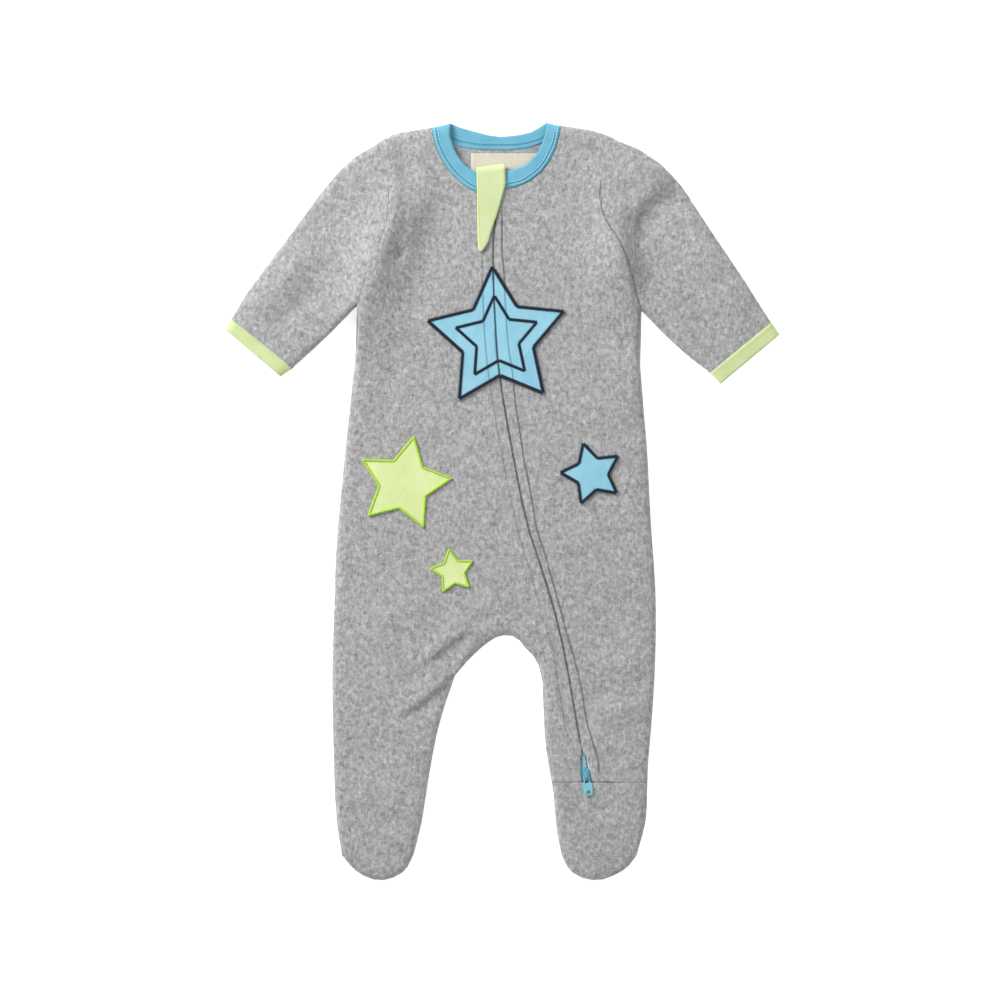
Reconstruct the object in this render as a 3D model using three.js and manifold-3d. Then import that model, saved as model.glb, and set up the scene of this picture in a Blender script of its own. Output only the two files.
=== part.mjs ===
// A baby's footed zip sleeper, size 3 to 6 months, lying flat on its back panel with the front up.
// Millimetres, +Z up, +Y toward the neck, +X to the right of a viewer looking down.
// The origin is on the surface that the garment lies on, below the middle of its outline.
// Right and left in the names are the wearer's, so the right side has negative X.

import * as THREE from 'three';
import { mergeVertices } from 'three/addons/utils/BufferGeometryUtils.js';
import Module from 'manifold-3d';

const wasm = await Module();
wasm.setup();

// Driving dimensions

const seamGap = 0.3;
const fleece = { wall: 1.6, frontTop: 7, backBottom: 0 };
const rib = { wall: 1.8, proud: 0.4 };
const binding = { wall: 2.3, proud: 0.4 };
const rims = { front: 3, back: 2.7, tube: 2.85 };
const rolls = { front: 7, back: 3.5, inset: 1.6, reach: 10 };
const edgeSteps = [0, 0.7, 2.6, 7];
const toeSteps = [0, 5, 10.5, 17];
const zipSteps = [0, 2.5, 7, 12];
const snap = 0.2;
const crotchSteps = [0, 8, 17, 32];
const neckSteps = [0, 2, 5, 10];
const chestSteps = [0, 4, 9, 15];
const tapeSteps = [0, 5];
const searchSteps = 400;
const weldTolerance = 1e-4;
const zip = {
  tapeFrom: 2.5, tapeTo: 12, tapeWall: 1, coilHalf: 2.2, coilDepth: 2, under: 0.35, top: 249, end: -230.6,
};
const slit = { start: -203, full: -217, halfGap: 4.1 };
const footSeamY = -231;
const slider = {
  at: [69.1, -225], width: 7, length: 11, topPlate: [5.4, 6.6], bottomPlate: [1.95, 2.7],
  neckWidth: 2, neckLength: 3, neckInset: 0.5, bridgeHalf: 2.6, bridgeWidth: 1.8, bridgeThick: 0.9,
  bridgeTop: 10, weld: 0.2, zipFrom: -217, zipTo: -230,
};
const pull = {
  axis: 0.6, height: 7.9, thick: 1.2, eyeHalf: 2.3, windowHalf: 1.3, windowEnd: 4.9,
  flareEnd: 6.8, half: 4, end: 17.3, corner: 1.6, holeAt: 14.2, holeRadius: 1.3,
};
const tab = { wall: 1.6, innerZ: 4, outerZ: 8.6 };
const label = { x: [-25, 30], y: [264.5, 285], z: [1.9, 2.9] };
const badge = { gap: 0.35, thick: 1, cutFrom: -5, cutTo: 25 };
const colours = {
  fleece: 0xa9a9aa, lime: 0xe0edb4, binding: 0x81c6dd, tab: 0xe1eeb9, cream: 0xebe4d4,
  tape: 0x5aa5c0, enamel: 0x84c1d5, skyBlue: 0x97cddd, limeFleece: 0xdde9a8,
};
const finish = {
  fleece: { roughness: 0.95, metalness: 0 },
  woven: { roughness: 0.8, metalness: 0 },
  coil: { roughness: 0.6, metalness: 0 },
  enamel: { roughness: 0.4, metalness: 0.2 },
};

// Outline of the garment, anticlockwise, columns x and y

const outline = {
  shoulderRight: [[-42, 310], [-57, 306.5], [-75, 303.5], [-89, 300.5], [-102, 293.5]],
  sleeveTopRight: [[-102, 293.5], [-123.5, 281], [-142.5, 261], [-162, 235], [-191.5, 195.5], [-215, 163],
    [-222.5, 149.5]],
  cuffTopRight: [[-222.5, 149.5], [-227.5, 141]],
  cuffUnderRight: [[-181, 101.5], [-171.5, 108]],
  sleeveUnderRight: [[-171.5, 108], [-154, 123.5], [-134, 143], [-118.5, 159.5]],
  sideRight: [[-118.5, 159.5], [-118, 140], [-124, 82.5], [-130, 23.5], [-135.5, -35.5], [-137.5, -94.5],
    [-139, -144], [-138, -203], [-135.5, -262], [-131, -291.5]],
  toeRight: [[-131, -291.5], [-122.5, -301.5], [-113.5, -308], [-99.5, -312], [-85, -308], [-77.5, -301.5],
    [-72.5, -291.5]],
  innerRight: [[-72.5, -291.5], [-67, -272], [-60.5, -232.5], [-55.5, -203], [-48.5, -173.5],
    [-41.5, -154.5], [-38.2, -144], [-28.5, -132.5], [-16.2, -120.6]],
  crotch: [[-16.2, -120.6], [-6.5, -113.5], [-1.4, -111.3], [4, -110.6], [9, -111.1], [13.5, -113.5],
    [19, -120.6]],
  innerLeft: [[19, -120.6], [27.7, -129.4], [31.6, -138.2], [33.8, -150.3], [34.5, -173.5], [36.5, -203],
    [43, -242.5], [45.5, -272], [49.5, -291.5]],
  toeLeft: [[49.5, -291.5], [54.5, -301.5], [62, -308], [78.5, -312], [92, -308], [103, -301.5],
    [111, -291.5]],
  sideLeft: [[111, -291.5], [118.5, -262], [120, -222.5], [124, -173.5], [126.5, -124], [126.5, -75],
    [122.5, -16], [119.5, 43], [116, 82.5], [113.5, 123.5], [115, 155.5]],
  sleeveUnderLeft: [[115, 155.5], [132.5, 136.5], [154, 117], [171, 104.5]],
  cuffUnderLeft: [[171, 104.5], [179.5, 95.5]],
  cuffTopLeft: [[228.5, 136.5], [222, 146.5]],
  sleeveTopLeft: [[222, 146.5], [199, 182.5], [172.5, 222], [150.5, 254.5], [134, 274.5], [116, 287.5],
    [91.5, 298]],
  shoulderLeft: [[91.5, 298], [74, 304], [58, 306.5], [48.5, 308], [37.5, 310.5]],
};

// Seams inside the outline, columns x and y, each from the shoulder down

const seams = {
  armholeRight: [[-102, 293.5], [-94.5, 271], [-92, 246.5], [-94.5, 223.5], [-101.5, 205.5], [-108.5, 187.5],
    [-118.5, 159.5]],
  armholeLeft: [[91.5, 298], [85.5, 279], [81, 254.5], [82, 240], [87, 226], [97.5, 210], [105, 190],
    [110, 172], [115, 155.5]],
  neckOuterRight: [[-57, 306.5], [-54.5, 293], [-49.5, 281], [-43, 271], [-34.5, 262], [-24, 254.5],
    [-9.5, 252], [-3.5, 252]],
  neckInnerRight: [[-42, 310], [-42, 299.5], [-39.5, 290.5], [-35.5, 282], [-29.5, 274.5], [-21.5, 269.5],
    [-9.5, 265.5], [-3.5, 265.5]],
  neckOuterLeft: [[48.5, 308], [46.5, 294.5], [42, 283.5], [36, 273], [27, 264.5], [16, 258], [4.5, 256],
    [-2.5, 255.5]],
  neckInnerLeft: [[37.5, 310.5], [36.5, 303.5], [33, 292], [28.5, 283.5], [21, 276], [13.5, 272],
    [4.5, 270], [-2.5, 269.5]],
  backNeckOuter: [[-57, 306.5], [-50.5, 296.5], [-38, 291.5], [-21.5, 288.5], [-3.5, 288], [15, 288.5],
    [31.5, 292.5], [42, 298], [48.5, 308]],
  backNeckInner: [[-42, 310], [-34, 306.5], [-21.5, 303], [-3.5, 299], [15, 300.5], [25, 303], [37.5, 310.5]],
  zip: [[-3, 256], [-6, 222], [-6.5, 190.5], [-5.5, 158], [-3, 117.5], [0.5, 90.5], [3.5, 72.5], [8.5, 44],
    [17, 0.5], [23.5, -26.5], [31.5, -51], [44, -91.5], [53, -131], [60.5, -173.5], [67, -210.5],
    [70.1, -231]],
};

// The largest folds of the front, each along a bent line through three points

const foldColumns = ['x1', 'y1', 'x2', 'y2', 'x3', 'y3', 'width', 'height'];
const folds = [
  [-93, 285, -86, 245, -92, 212, 5, 1.3],
  [-81, 292, -77, 256, -84, 205, 8, -1.9],
  [-84, 205, -97, 175, -111, 116, 9, -1.9],
  [-73, 200, -72, 186, -80, 168, 14, -1],
  [144, 259, 124, 245, 112, 229, 7, -2],
  [103, 228, 103, 204, 113, 160, 6, -2.2],
  [98, 282, 113, 262, 122, 243, 9, 2.2],
  [84, 262, 88, 232, 97, 196, 6, 1.4],
  [-28, -101, -42, -113, -56, -126, 6, -1.4],
  [-38, -136, -57, -156, -73, -173, 6, -1.3],
  [20, -97, 27, -112, 33, -126, 6, -1.2],
  [82, -166, 98, -160, 114, -166, 10, 1],
  [-112, -250, -96, -262, -82, -276, 9, 1],
  [-196, 158, -168, 186, -146, 210, 12, 1.1],
  [196, 150, 172, 182, 152, 206, 11, 1.1],
].map((row) => Object.fromEntries(row.map((value, k) => [foldColumns[k], value])));

// The four sewn-on motifs

const starColumns = ['name', 'x', 'y', 'radius', 'turn', 'side', 'colour'];
const stars = [
  ['star_sky_right', -3.5, 133, 60, 4, 'right', colours.skyBlue],
  ['star_sky_left', -3.5, 133, 60, 4, 'left', colours.skyBlue],
  ['star_lime', -80, 14, 40, -12, 'right', colours.limeFleece],
  ['star_small_sky', 74, 22, 27, 16, 'left', colours.skyBlue],
  ['star_small_lime', -40, -58, 19, 10, 'right', colours.limeFleece],
].map((row) => Object.fromEntries(row.map((value, k) => [starColumns[k], value])));
const starInner = 0.52;

// Curves

const lerp = (a, b, t) => a + (b - a) * t;
const mix = (p, q, t) => [lerp(p[0], q[0], t), lerp(p[1], q[1], t)];
const apart = (p, q) => Math.hypot(q[0] - p[0], q[1] - p[1]);

function bend(rows) {
  const points = rows.map(([x, y]) => new THREE.Vector3(x, y, 0));
  return new THREE.CatmullRomCurve3(points, false, 'centripetal');
}

function pointAt(curve, distance) {
  const share = Math.min(Math.max(distance / curve.getLength(), 0), 1);
  const p = curve.getPointAt(share);
  return [p.x, p.y];
}

// Distances along a length: some near its start, an even middle, and some near its end
function spread(length, before, middle, after) {
  const from = before.at(-1);
  const to = length - after.at(-1);
  const even = Array.from({ length: middle }, (_, k) => lerp(from, to, (k + 1) / (middle + 1)));
  return [...before, ...even, ...after.map((d) => length - d).reverse()];
}

function along(curve, before, middle, after, from = 0, to = curve.getLength()) {
  return spread(to - from, before, middle, after).map((d) => pointAt(curve, from + d));
}

// How far along a curve it reaches a given Y
function distanceAtY(curve, y) {
  const points = curve.getSpacedPoints(searchSteps);
  for (let k = 1; k <= searchSteps; k += 1) {
    const a = points[k - 1];
    const b = points[k];
    if ((a.y - y) * (b.y - y) <= 0 && a.y !== b.y) {
      return (curve.getLength() * (k - 1 + (y - a.y) / (b.y - a.y))) / searchSteps;
    }
  }
  return 0;
}

// How far along a curve its nearest place to a point is
function distanceOf(curve, point) {
  const gaps = curve.getSpacedPoints(searchSteps).map((p) => apart([p.x, p.y], point));
  return (curve.getLength() * gaps.indexOf(Math.min(...gaps))) / searchSteps;
}

// The same points moved to the left of their direction
function shifted(points, amount) {
  return points.map((p, k) => {
    const a = points[Math.max(k - 1, 0)];
    const b = points[Math.min(k + 1, points.length - 1)];
    const length = apart(a, b);
    return [p[0] - ((b[1] - a[1]) * amount) / length, p[1] + ((b[0] - a[0]) * amount) / length];
  });
}

const straight = (p, q, before, middle, after) => {
  const length = apart(p, q);
  return spread(length, before, middle, after).map((d) => mix(p, q, d / length));
};

const edge = {};
Object.entries({ ...outline, ...seams }).forEach(([name, rows]) => {
  edge[name] = bend(rows);
});
const reversed = (curve) => bend(curve.points.map((p) => [p.x, p.y]).reverse());

// Distance in from the outline, where the cloth rolls over

const outlineStep = 3;
const rim = Object.keys(outline).flatMap((name) => {
  const count = Math.max(1, Math.round(edge[name].getLength() / outlineStep));
  const points = edge[name].getSpacedPoints(count);
  return points.slice(1).map((b, k) => ({ a: points[k], b }));
});

function inFromRim(x, y) {
  let best = { distance: Infinity };
  const normal = [0, 0];
  for (const { a, b } of rim) {
    const dx = b.x - a.x;
    const dy = b.y - a.y;
    const share = Math.min(Math.max(((x - a.x) * dx + (y - a.y) * dy) / (dx * dx + dy * dy), 0), 1);
    const px = x - a.x - dx * share;
    const py = y - a.y - dy * share;
    const distance = Math.hypot(px, py);
    if (distance < snap) {
      normal[0] -= dy / Math.hypot(dx, dy);
      normal[1] += dx / Math.hypot(dx, dy);
    }
    if (distance < best.distance) best = { distance, px, py };
  }
  const length = Math.hypot(...normal);
  if (length > 0) return { distance: 0, inX: normal[0] / length, inY: normal[1] / length };
  return { distance: best.distance, inX: best.px / best.distance, inY: best.py / best.distance };
}

// Height of the cloth

const roll = (share) => Math.sqrt(1 - (1 - Math.min(Math.max(share, 0), 1)) ** 2);

function nearLine(x, y, x1, y1, x2, y2) {
  const dx = x2 - x1;
  const dy = y2 - y1;
  const share = Math.min(Math.max(((x - x1) * dx + (y - y1) * dy) / (dx * dx + dy * dy), 0), 1);
  return Math.hypot(x - x1 - dx * share, y - y1 - dy * share);
}

function foldAt(x, y) {
  return folds.reduce((sum, f) => {
    const near = Math.min(nearLine(x, y, f.x1, f.y1, f.x2, f.y2), nearLine(x, y, f.x2, f.y2, f.x3, f.y3));
    return sum + f.height * Math.exp(-((near / f.width) ** 2));
  }, 0);
}

// A point of a front or back layer, as its outer and its inner place
function layer(p, { side, wall = fleece.wall, lift = 0, rimZ = rims[side], onRim = false }) {
  const [x, y] = p;
  const { distance, inX, inY } = inFromRim(x, y);
  const from = onRim ? 0 : distance;
  const inner = from < rolls.reach ? rolls.inset + from * (1 - rolls.inset / rolls.reach) : from;
  const innerX = x + inX * (inner - from);
  const innerY = y + inY * (inner - from);
  if (side === 'front') {
    const top = fleece.frontTop + lift;
    const outerZ = lerp(rimZ, top, roll(from / rolls.front)) + foldAt(x, y) * roll(from / rolls.front);
    const innerShare = roll((inner - rolls.inset) / (rolls.front - rolls.inset));
    const innerZ = lerp(rimZ, top - wall, innerShare) + foldAt(innerX, innerY) * innerShare;
    return { outer: [x, y, outerZ], inner: [innerX, innerY, innerZ] };
  }
  const outerZ = lerp(rimZ, fleece.backBottom, roll(from / rolls.back));
  const innerZ = lerp(rimZ, wall, roll((inner - rolls.inset) / (rolls.back - rolls.inset)));
  return { outer: [x, y, outerZ], inner: [innerX, innerY, innerZ] };
}

const frontUnder = (x, y) => fleece.frontTop - fleece.wall + foldAt(x, y);

// Grids of points between four edges: top and bottom run along X, left and right run down

function shares(points) {
  const lengths = [0];
  for (let k = 1; k < points.length; k += 1) {
    lengths.push(lengths[k - 1] + apart(points[k - 1], points[k]));
  }
  return lengths.map((d) => d / lengths.at(-1));
}

function fill(top, bottom, left, right) {
  const [uTop, uBottom, vLeft, vRight] = [top, bottom, left, right].map(shares);
  return left.map((_, i) => top.map((__, j) => {
    const vMiddle = (vLeft[i] + vRight[i]) / 2;
    const u = lerp(uTop[j], uBottom[j], vMiddle);
    const v = lerp(vLeft[i], vRight[i], u);
    const at = (k) => lerp(top[j][k], bottom[j][k], v) + lerp(left[i][k], right[i][k], u)
      - lerp(lerp(top[0][k], top.at(-1)[k], u), lerp(bottom[0][k], bottom.at(-1)[k], u), v);
    return [at(0), at(1)];
  }));
}

// A cloth skin: faces between points that each have an outer and an inner place

class Skin {
  constructor() {
    this.points = [];
    this.faces = [];
    this.found = new Map();
  }

  add(key, make) {
    if (!this.found.has(key)) {
      this.found.set(key, this.points.length);
      this.points.push(make());
    }
    return this.found.get(key);
  }

  // Faces of a grid of point numbers, rows down and columns along +X, turned over where the outside is below
  weave(numbers, below = false) {
    for (let i = 1; i < numbers.length; i += 1) {
      for (let j = 1; j < numbers[i].length; j += 1) {
        const face = [numbers[i - 1][j - 1], numbers[i][j - 1], numbers[i][j], numbers[i - 1][j]];
        this.faces.push(below ? face.reverse() : face);
      }
    }
  }

  sheet(grid, options) {
    const key = ([x, y]) => `${x.toFixed(2)} ${y.toFixed(2)}`;
    const numbers = grid.map((row) => row.map((p) => this.add(key(p), () => layer(p, options))));
    this.weave(numbers, options.side === 'back');
    return this;
  }

  triangles() {
    const list = [];
    const used = new Set();
    const put = (a, b, c) => {
      if (a === b || b === c || c === a) return;
      list.push([a, b, c]);
      [[a, b], [b, c], [c, a]].forEach(([p, q]) => used.add(`${p} ${q}`));
    };
    this.faces.forEach(([a, b, c, d]) => {
      put(a, b, c);
      put(a, c, d);
    });
    return { list, used };
  }

  geometry(outerOf = (p) => p.outer, innerOf = (p) => p.inner) {
    const count = this.points.length;
    const position = [...this.points.map(outerOf), ...this.points.map(innerOf)].flat();
    const { list, used } = this.triangles();
    const index = [];
    list.forEach(([a, b, c]) => {
      index.push(a, b, c, a + count, c + count, b + count);
      [[a, b], [b, c], [c, a]].forEach(([p, q]) => {
        if (!used.has(`${q} ${p}`)) index.push(q, p, p + count, q, p + count, q + count);
      });
    });
    const geometry = new THREE.BufferGeometry();
    geometry.setAttribute('position', new THREE.Float32BufferAttribute(position, 3));
    geometry.setIndex(index);
    return geometry;
  }
}

// Points shared by neighbours: the armholes, the zip line and the neckline

const armholeCount = 7;
const armhole = {
  right: along(edge.armholeRight, edgeSteps, armholeCount, edgeSteps),
  left: along(edge.armholeLeft, edgeSteps, armholeCount, edgeSteps),
};
const zipX = (y) => pointAt(edge.zip, distanceAtY(edge.zip, y))[0];
const slitAt = (y) => slit.halfGap * Math.min(Math.max((slit.start - y) / (slit.start - slit.full), 0), 1);
const zipEdge = (side, y) => [zipX(y) + side * (seamGap / 2 + slitAt(y)), y];

const neckEndY = { right: 252, left: 255.5 };
const neckEdge = {
  right: { before: edgeSteps, middle: 11, after: zipSteps },
  left: { before: edgeSteps, middle: 5, after: [0, 2.5] },
  back: { before: edgeSteps, middle: 7, after: edgeSteps },
};
const neckPoints = (curve, { before, middle, after }) => along(curve, before, middle, after);
const chestY = 158;
const hipY = -118;
const rows = { torso: 12, leg: 6, foot: 4, backTorso: 5, backLeg: 5, tape: 5 };
const columns = { middle: 4, leftMiddle: 7, strip: 1, backMiddle: 2, arch: 5 };
const chestRows = (from) => spread(from - chestY, neckSteps, armholeCount, chestSteps).map((d) => from - d);
const torsoShares = (count) => spread(chestY - hipY, [0], count, edgeSteps).map((d) => d / (chestY - hipY));
const torsoYs = torsoShares(rows.torso).map((share) => lerp(chestY, hipY, share));
const legYs = [hipY, -127, -136, -150, -168, -186, slit.start, -207.5, -212, slit.full, -224, footSeamY];

// Front panels

const atY = (curve, y) => pointAt(curve, distanceAtY(curve, y));

function torsoSide(curve, from, to, steps) {
  const start = distanceAtY(curve, from);
  const end = distanceAtY(curve, to);
  return steps.map((share) => pointAt(curve, lerp(start, end, share)));
}

// Points along a shoulder from the armhole to the neck
function shoulderTo(neckEnd, side, count) {
  const curve = side === 'right' ? edge.shoulderRight : edge.shoulderLeft;
  const from = side === 'right' ? curve.getLength() : 0;
  const to = distanceOf(curve, neckEnd);
  return Array.from({ length: count + 1 }, (_, k) => pointAt(curve, lerp(from, to, k / count)));
}

const sideDown = { right: edge.sideRight, left: reversed(edge.sideLeft) };
const innerDown = { right: reversed(edge.innerRight), left: edge.innerLeft };
const toeAcross = { right: edge.toeRight, left: edge.toeLeft };
const arch = along(edge.crotch, [0], columns.arch, [0]);

function frontRight() {
  const skin = new Skin();
  const options = { side: 'front' };
  const hipMain = straight(atY(sideDown.right, hipY), arch[0], edgeSteps, columns.middle, edgeSteps);
  const hipStrip = straight(arch.at(-1), zipEdge(-1, hipY), edgeSteps, columns.strip, zipSteps);
  const hip = [...hipMain, ...arch.slice(1, -1), ...hipStrip];
  const chestCount = hip.length - edgeSteps.length - zipSteps.length;
  const chest = straight(armhole.right.at(-1), zipEdge(-1, chestY), edgeSteps, chestCount, zipSteps);
  const neck = shifted(neckPoints(edge.neckOuterRight, neckEdge.right), -seamGap);
  const shoulder = shoulderTo(seams.neckOuterRight[0], 'right', hip.length - neck.length);
  const zipChest = chestRows(neckEndY.right - seamGap).map((y) => zipEdge(-1, y));
  neck[neck.length - 1] = zipChest[0];
  const top = [...shoulder.slice(0, -1), ...neck];
  skin.sheet(fill(top, chest, armhole.right, zipChest), options);
  const side = torsoSide(sideDown.right, armhole.right.at(-1)[1], hipY, torsoShares(rows.torso));
  side[0] = armhole.right.at(-1);
  skin.sheet(fill(chest, hip, side, torsoYs.map((y) => zipEdge(-1, y))), options);
  const outer = along(sideDown.right, crotchSteps, rows.leg, edgeSteps, distanceAtY(sideDown.right, hipY));
  const inner = along(innerDown.right, crotchSteps, rows.leg, edgeSteps);
  const toe = along(toeAcross.right, toeSteps, columns.middle, toeSteps);
  skin.sheet(fill(hipMain, toe, outer, inner), options);
  const stripInner = legYs.map((y) => atY(innerDown.left, y));
  stripInner[0] = arch.at(-1);
  const stripFoot = straight(stripInner.at(-1), zipEdge(-1, footSeamY), edgeSteps, columns.strip, zipSteps);
  skin.sheet(fill(hipStrip, stripFoot, stripInner, legYs.map((y) => zipEdge(-1, y))), options);
  return skin;
}

function frontLeft() {
  const skin = new Skin();
  const options = { side: 'front' };
  const footSide = atY(sideDown.left, footSeamY);
  const chest = straight(zipEdge(1, chestY), armhole.left.at(-1), zipSteps, columns.leftMiddle, edgeSteps);
  const foot = straight(zipEdge(1, footSeamY), footSide, zipSteps, columns.leftMiddle, edgeSteps);
  const neck = shifted(neckPoints(edge.neckOuterLeft, neckEdge.left), seamGap);
  const shoulder = shoulderTo(seams.neckOuterLeft[0], 'left', chest.length - neck.length);
  const zipChest = chestRows(neckEndY.left - seamGap).map((y) => zipEdge(1, y));
  neck[neck.length - 1] = zipChest[0];
  const top = [...neck.reverse(), ...shoulder.reverse().slice(1)];
  skin.sheet(fill(top, chest, zipChest, armhole.left), options);
  const ys = [...torsoYs, ...legYs.slice(1)];
  const steps = ys.map((y) => (chestY - y) / (chestY - footSeamY));
  const side = torsoSide(sideDown.left, armhole.left.at(-1)[1], footSeamY, steps);
  side[0] = armhole.left.at(-1);
  skin.sheet(fill(chest, foot, ys.map((y) => zipEdge(1, y)), side), options);
  return skin;
}

function footTop() {
  const skin = new Skin();
  const down = (curve) => along(curve, [0], rows.foot, edgeSteps, distanceAtY(curve, footSeamY - seamGap));
  const inner = down(innerDown.left);
  const outer = down(sideDown.left);
  const seam = straight(inner[0], outer[0], edgeSteps, columns.middle, edgeSteps);
  const toe = along(toeAcross.left, toeSteps, columns.middle, toeSteps);
  return skin.sheet(fill(seam, toe, inner, outer), { side: 'front' });
}

// Back panel, its edges below those of the front

function back() {
  const skin = new Skin();
  const options = { side: 'back' };
  const middle = columns.backMiddle;
  const armholeEnd = { right: armhole.right.at(-1), left: armhole.left.at(-1) };
  const hipRight = straight(atY(sideDown.right, hipY), arch[0], edgeSteps, middle, edgeSteps);
  const hipLeft = straight(arch.at(-1), atY(sideDown.left, hipY), edgeSteps, middle, edgeSteps);
  const hip = [...hipRight, ...arch.slice(1, -1), ...hipLeft];
  const chestCount = hip.length - 2 * edgeSteps.length;
  const chest = straight(armholeEnd.right, armholeEnd.left, edgeSteps, chestCount, edgeSteps);
  const neck = shifted(neckPoints(edge.backNeckOuter, neckEdge.back), -seamGap);
  const shoulderCount = (hip.length - neck.length) / 2;
  const shoulderRight = shoulderTo(seams.backNeckOuter[0], 'right', shoulderCount);
  const shoulderLeft = shoulderTo(seams.backNeckOuter.at(-1), 'left', shoulderCount).reverse();
  const top = [...shoulderRight.slice(0, -1), ...neck, ...shoulderLeft.slice(1)];
  skin.sheet(fill(top, chest, armhole.right, armhole.left), options);
  const steps = torsoShares(rows.backTorso);
  const sideRight = torsoSide(sideDown.right, armholeEnd.right[1], hipY, steps);
  const sideLeft = torsoSide(sideDown.left, armholeEnd.left[1], hipY, steps);
  sideRight[0] = armholeEnd.right;
  sideLeft[0] = armholeEnd.left;
  skin.sheet(fill(chest, hip, sideRight, sideLeft), options);
  const leg = (curve, from) => along(curve, crotchSteps, rows.backLeg, edgeSteps, from);
  const outer = (curve) => leg(curve, distanceAtY(curve, hipY));
  const toe = (curve) => along(curve, toeSteps, middle, toeSteps);
  skin.sheet(fill(hipRight, toe(toeAcross.right), outer(sideDown.right), leg(innerDown.right, 0)), options);
  skin.sheet(fill(hipLeft, toe(toeAcross.left), leg(innerDown.left, 0), outer(sideDown.left)), options);
  return skin;
}

// Tubes lying flat: a front and a back layer that share their two long edges

function tube(grid, wall, lift) {
  const skin = new Skin();
  const last = grid.length - 1;
  ['front', 'back'].forEach((side) => {
    const numbers = grid.map((row, i) => row.map((p, j) => {
      const onRim = i === 0 || i === last;
      const name = onRim ? `rim ${i} ${j}` : `${side} ${i} ${j}`;
      return skin.add(name, () => layer(p, { side, wall, lift, rimZ: rims.tube, onRim }));
    }));
    skin.weave(numbers, side === 'back');
  });
  return skin;
}

const sleeveStations = 9;

function seamEnd(curve, count) {
  const steps = spread(curve.getLength() - 2 * seamGap, [0], count - 1, [0]);
  return steps.map((d) => pointAt(curve, d + seamGap));
}

function sleeve(side) {
  const right = side === 'right';
  const top = seamEnd(right ? reversed(edge.sleeveTopRight) : reversed(edge.sleeveTopLeft), sleeveStations);
  const under = seamEnd(right ? edge.sleeveUnderRight : edge.sleeveUnderLeft, sleeveStations);
  const hole = shifted(armhole[side], right ? -seamGap : seamGap);
  const ends = right ? [top[0], under[0]] : [top.at(-1), under.at(-1)];
  const wrist = straight(ends[0], ends[1], edgeSteps, armholeCount, edgeSteps);
  hole[0] = right ? top.at(-1) : top[0];
  hole[hole.length - 1] = right ? under.at(-1) : under[0];
  return tube(right ? fill(top, under, wrist, hole) : fill(top, under, hole, wrist), fleece.wall, 0);
}

function cuffBand(side) {
  const right = side === 'right';
  const top = along(right ? reversed(edge.cuffTopRight) : reversed(edge.cuffTopLeft), [0], 1, [0]);
  const under = along(right ? edge.cuffUnderRight : edge.cuffUnderLeft, [0], 1, [0]);
  const across = (k) => straight(top[k], under[k], edgeSteps, armholeCount, edgeSteps);
  return tube(fill(top, under, across(0), across(top.length - 1)), rib.wall, rib.proud);
}

// Neck binding: one strip from the zip over the right shoulder, round the back and over the left shoulder

function neckBinding() {
  const skin = new Skin();
  const across = 2;
  const lines = [
    {
      side: 'front',
      outer: neckPoints(edge.neckOuterRight, neckEdge.right).reverse(),
      inner: neckPoints(edge.neckInnerRight, neckEdge.right).reverse(),
    },
    {
      side: 'back',
      outer: neckPoints(edge.backNeckOuter, neckEdge.back),
      inner: neckPoints(edge.backNeckInner, neckEdge.back),
    },
    {
      side: 'front',
      outer: neckPoints(edge.neckOuterLeft, neckEdge.left),
      inner: neckPoints(edge.neckInnerLeft, neckEdge.left),
    },
  ];
  let station = 0;
  lines.forEach((line, part) => {
    const { outer, inner } = line;
    const numbers = outer.map((p, i) => {
      const onRim = (part > 0 && i === 0) || (part < 2 && i === outer.length - 1);
      if (i > 0) station += 1;
      return Array.from({ length: across + 1 }, (_, j) => skin.add(`${station} ${j}`, () => layer(
        mix(p, inner[i], j / across),
        { side: line.side, wall: binding.wall, lift: binding.proud, rimZ: rims.tube, onRim },
      )));
    });
    skin.weave(numbers, true);
  });
  return skin;
}

// Chin tab: a pointed strip folded over the binding at the top of the zip

const tabColumns = ['leftX', 'leftY', 'rightX', 'rightY', 'z', 'turn'];
const tabRows = [
  [-19, 255, 2.5, 257.5, tab.innerZ, -90],
  [-20, 269.3, 3, 272, tab.innerZ, -90],
  [-20.5, 271.5, 3, 274.5, tab.innerZ + 0.9, -50],
  [-20.5, 272.5, 3, 275.5, (tab.innerZ + tab.outerZ) / 2, 0],
  [-20.5, 271.5, 3, 274.5, tab.outerZ - 0.9, 50],
  [-20.5, 269.3, 3.2, 272, tab.outerZ, 90],
  [-20.2, 257, 3.5, 259, tab.outerZ, 90],
  [-20, 247, 0.5, 248, tab.outerZ - 0.3, 90],
  [-20, 236, -3, 236, tab.outerZ - 0.4, 90],
  [-19.8, 226, -6.5, 226, tab.outerZ - 0.4, 90],
  [-19.6, 213, -10.7, 212, tab.outerZ - 0.4, 90],
  [-19.3, 206.5, -14.2, 206, tab.outerZ - 0.4, 90],
  [-17.9, 203.8, -16.4, 203.7, tab.outerZ - 0.4, 90],
].map((row) => Object.fromEntries(row.map((value, k) => [tabColumns[k], value])));

function chinTab() {
  const skin = new Skin();
  const across = 2;
  const placeOf = (row, share) => {
    const [x, y] = mix([row.leftX, row.leftY], [row.rightX, row.rightY], share);
    const angle = THREE.MathUtils.degToRad(row.turn);
    const half = tab.wall / 2;
    const at = (s) => [x, y + s * half * Math.cos(angle), row.z + s * half * Math.sin(angle)];
    return { outer: at(1), inner: at(-1) };
  };
  const numbers = tabRows.map((row, i) => Array.from({ length: across + 1 }, (_, j) => (
    skin.add(`${i} ${j}`, () => placeOf(row, j / across))
  )));
  skin.weave(numbers);
  return skin;
}

// Zip tapes and coil, under the edges of the front panels

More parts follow.
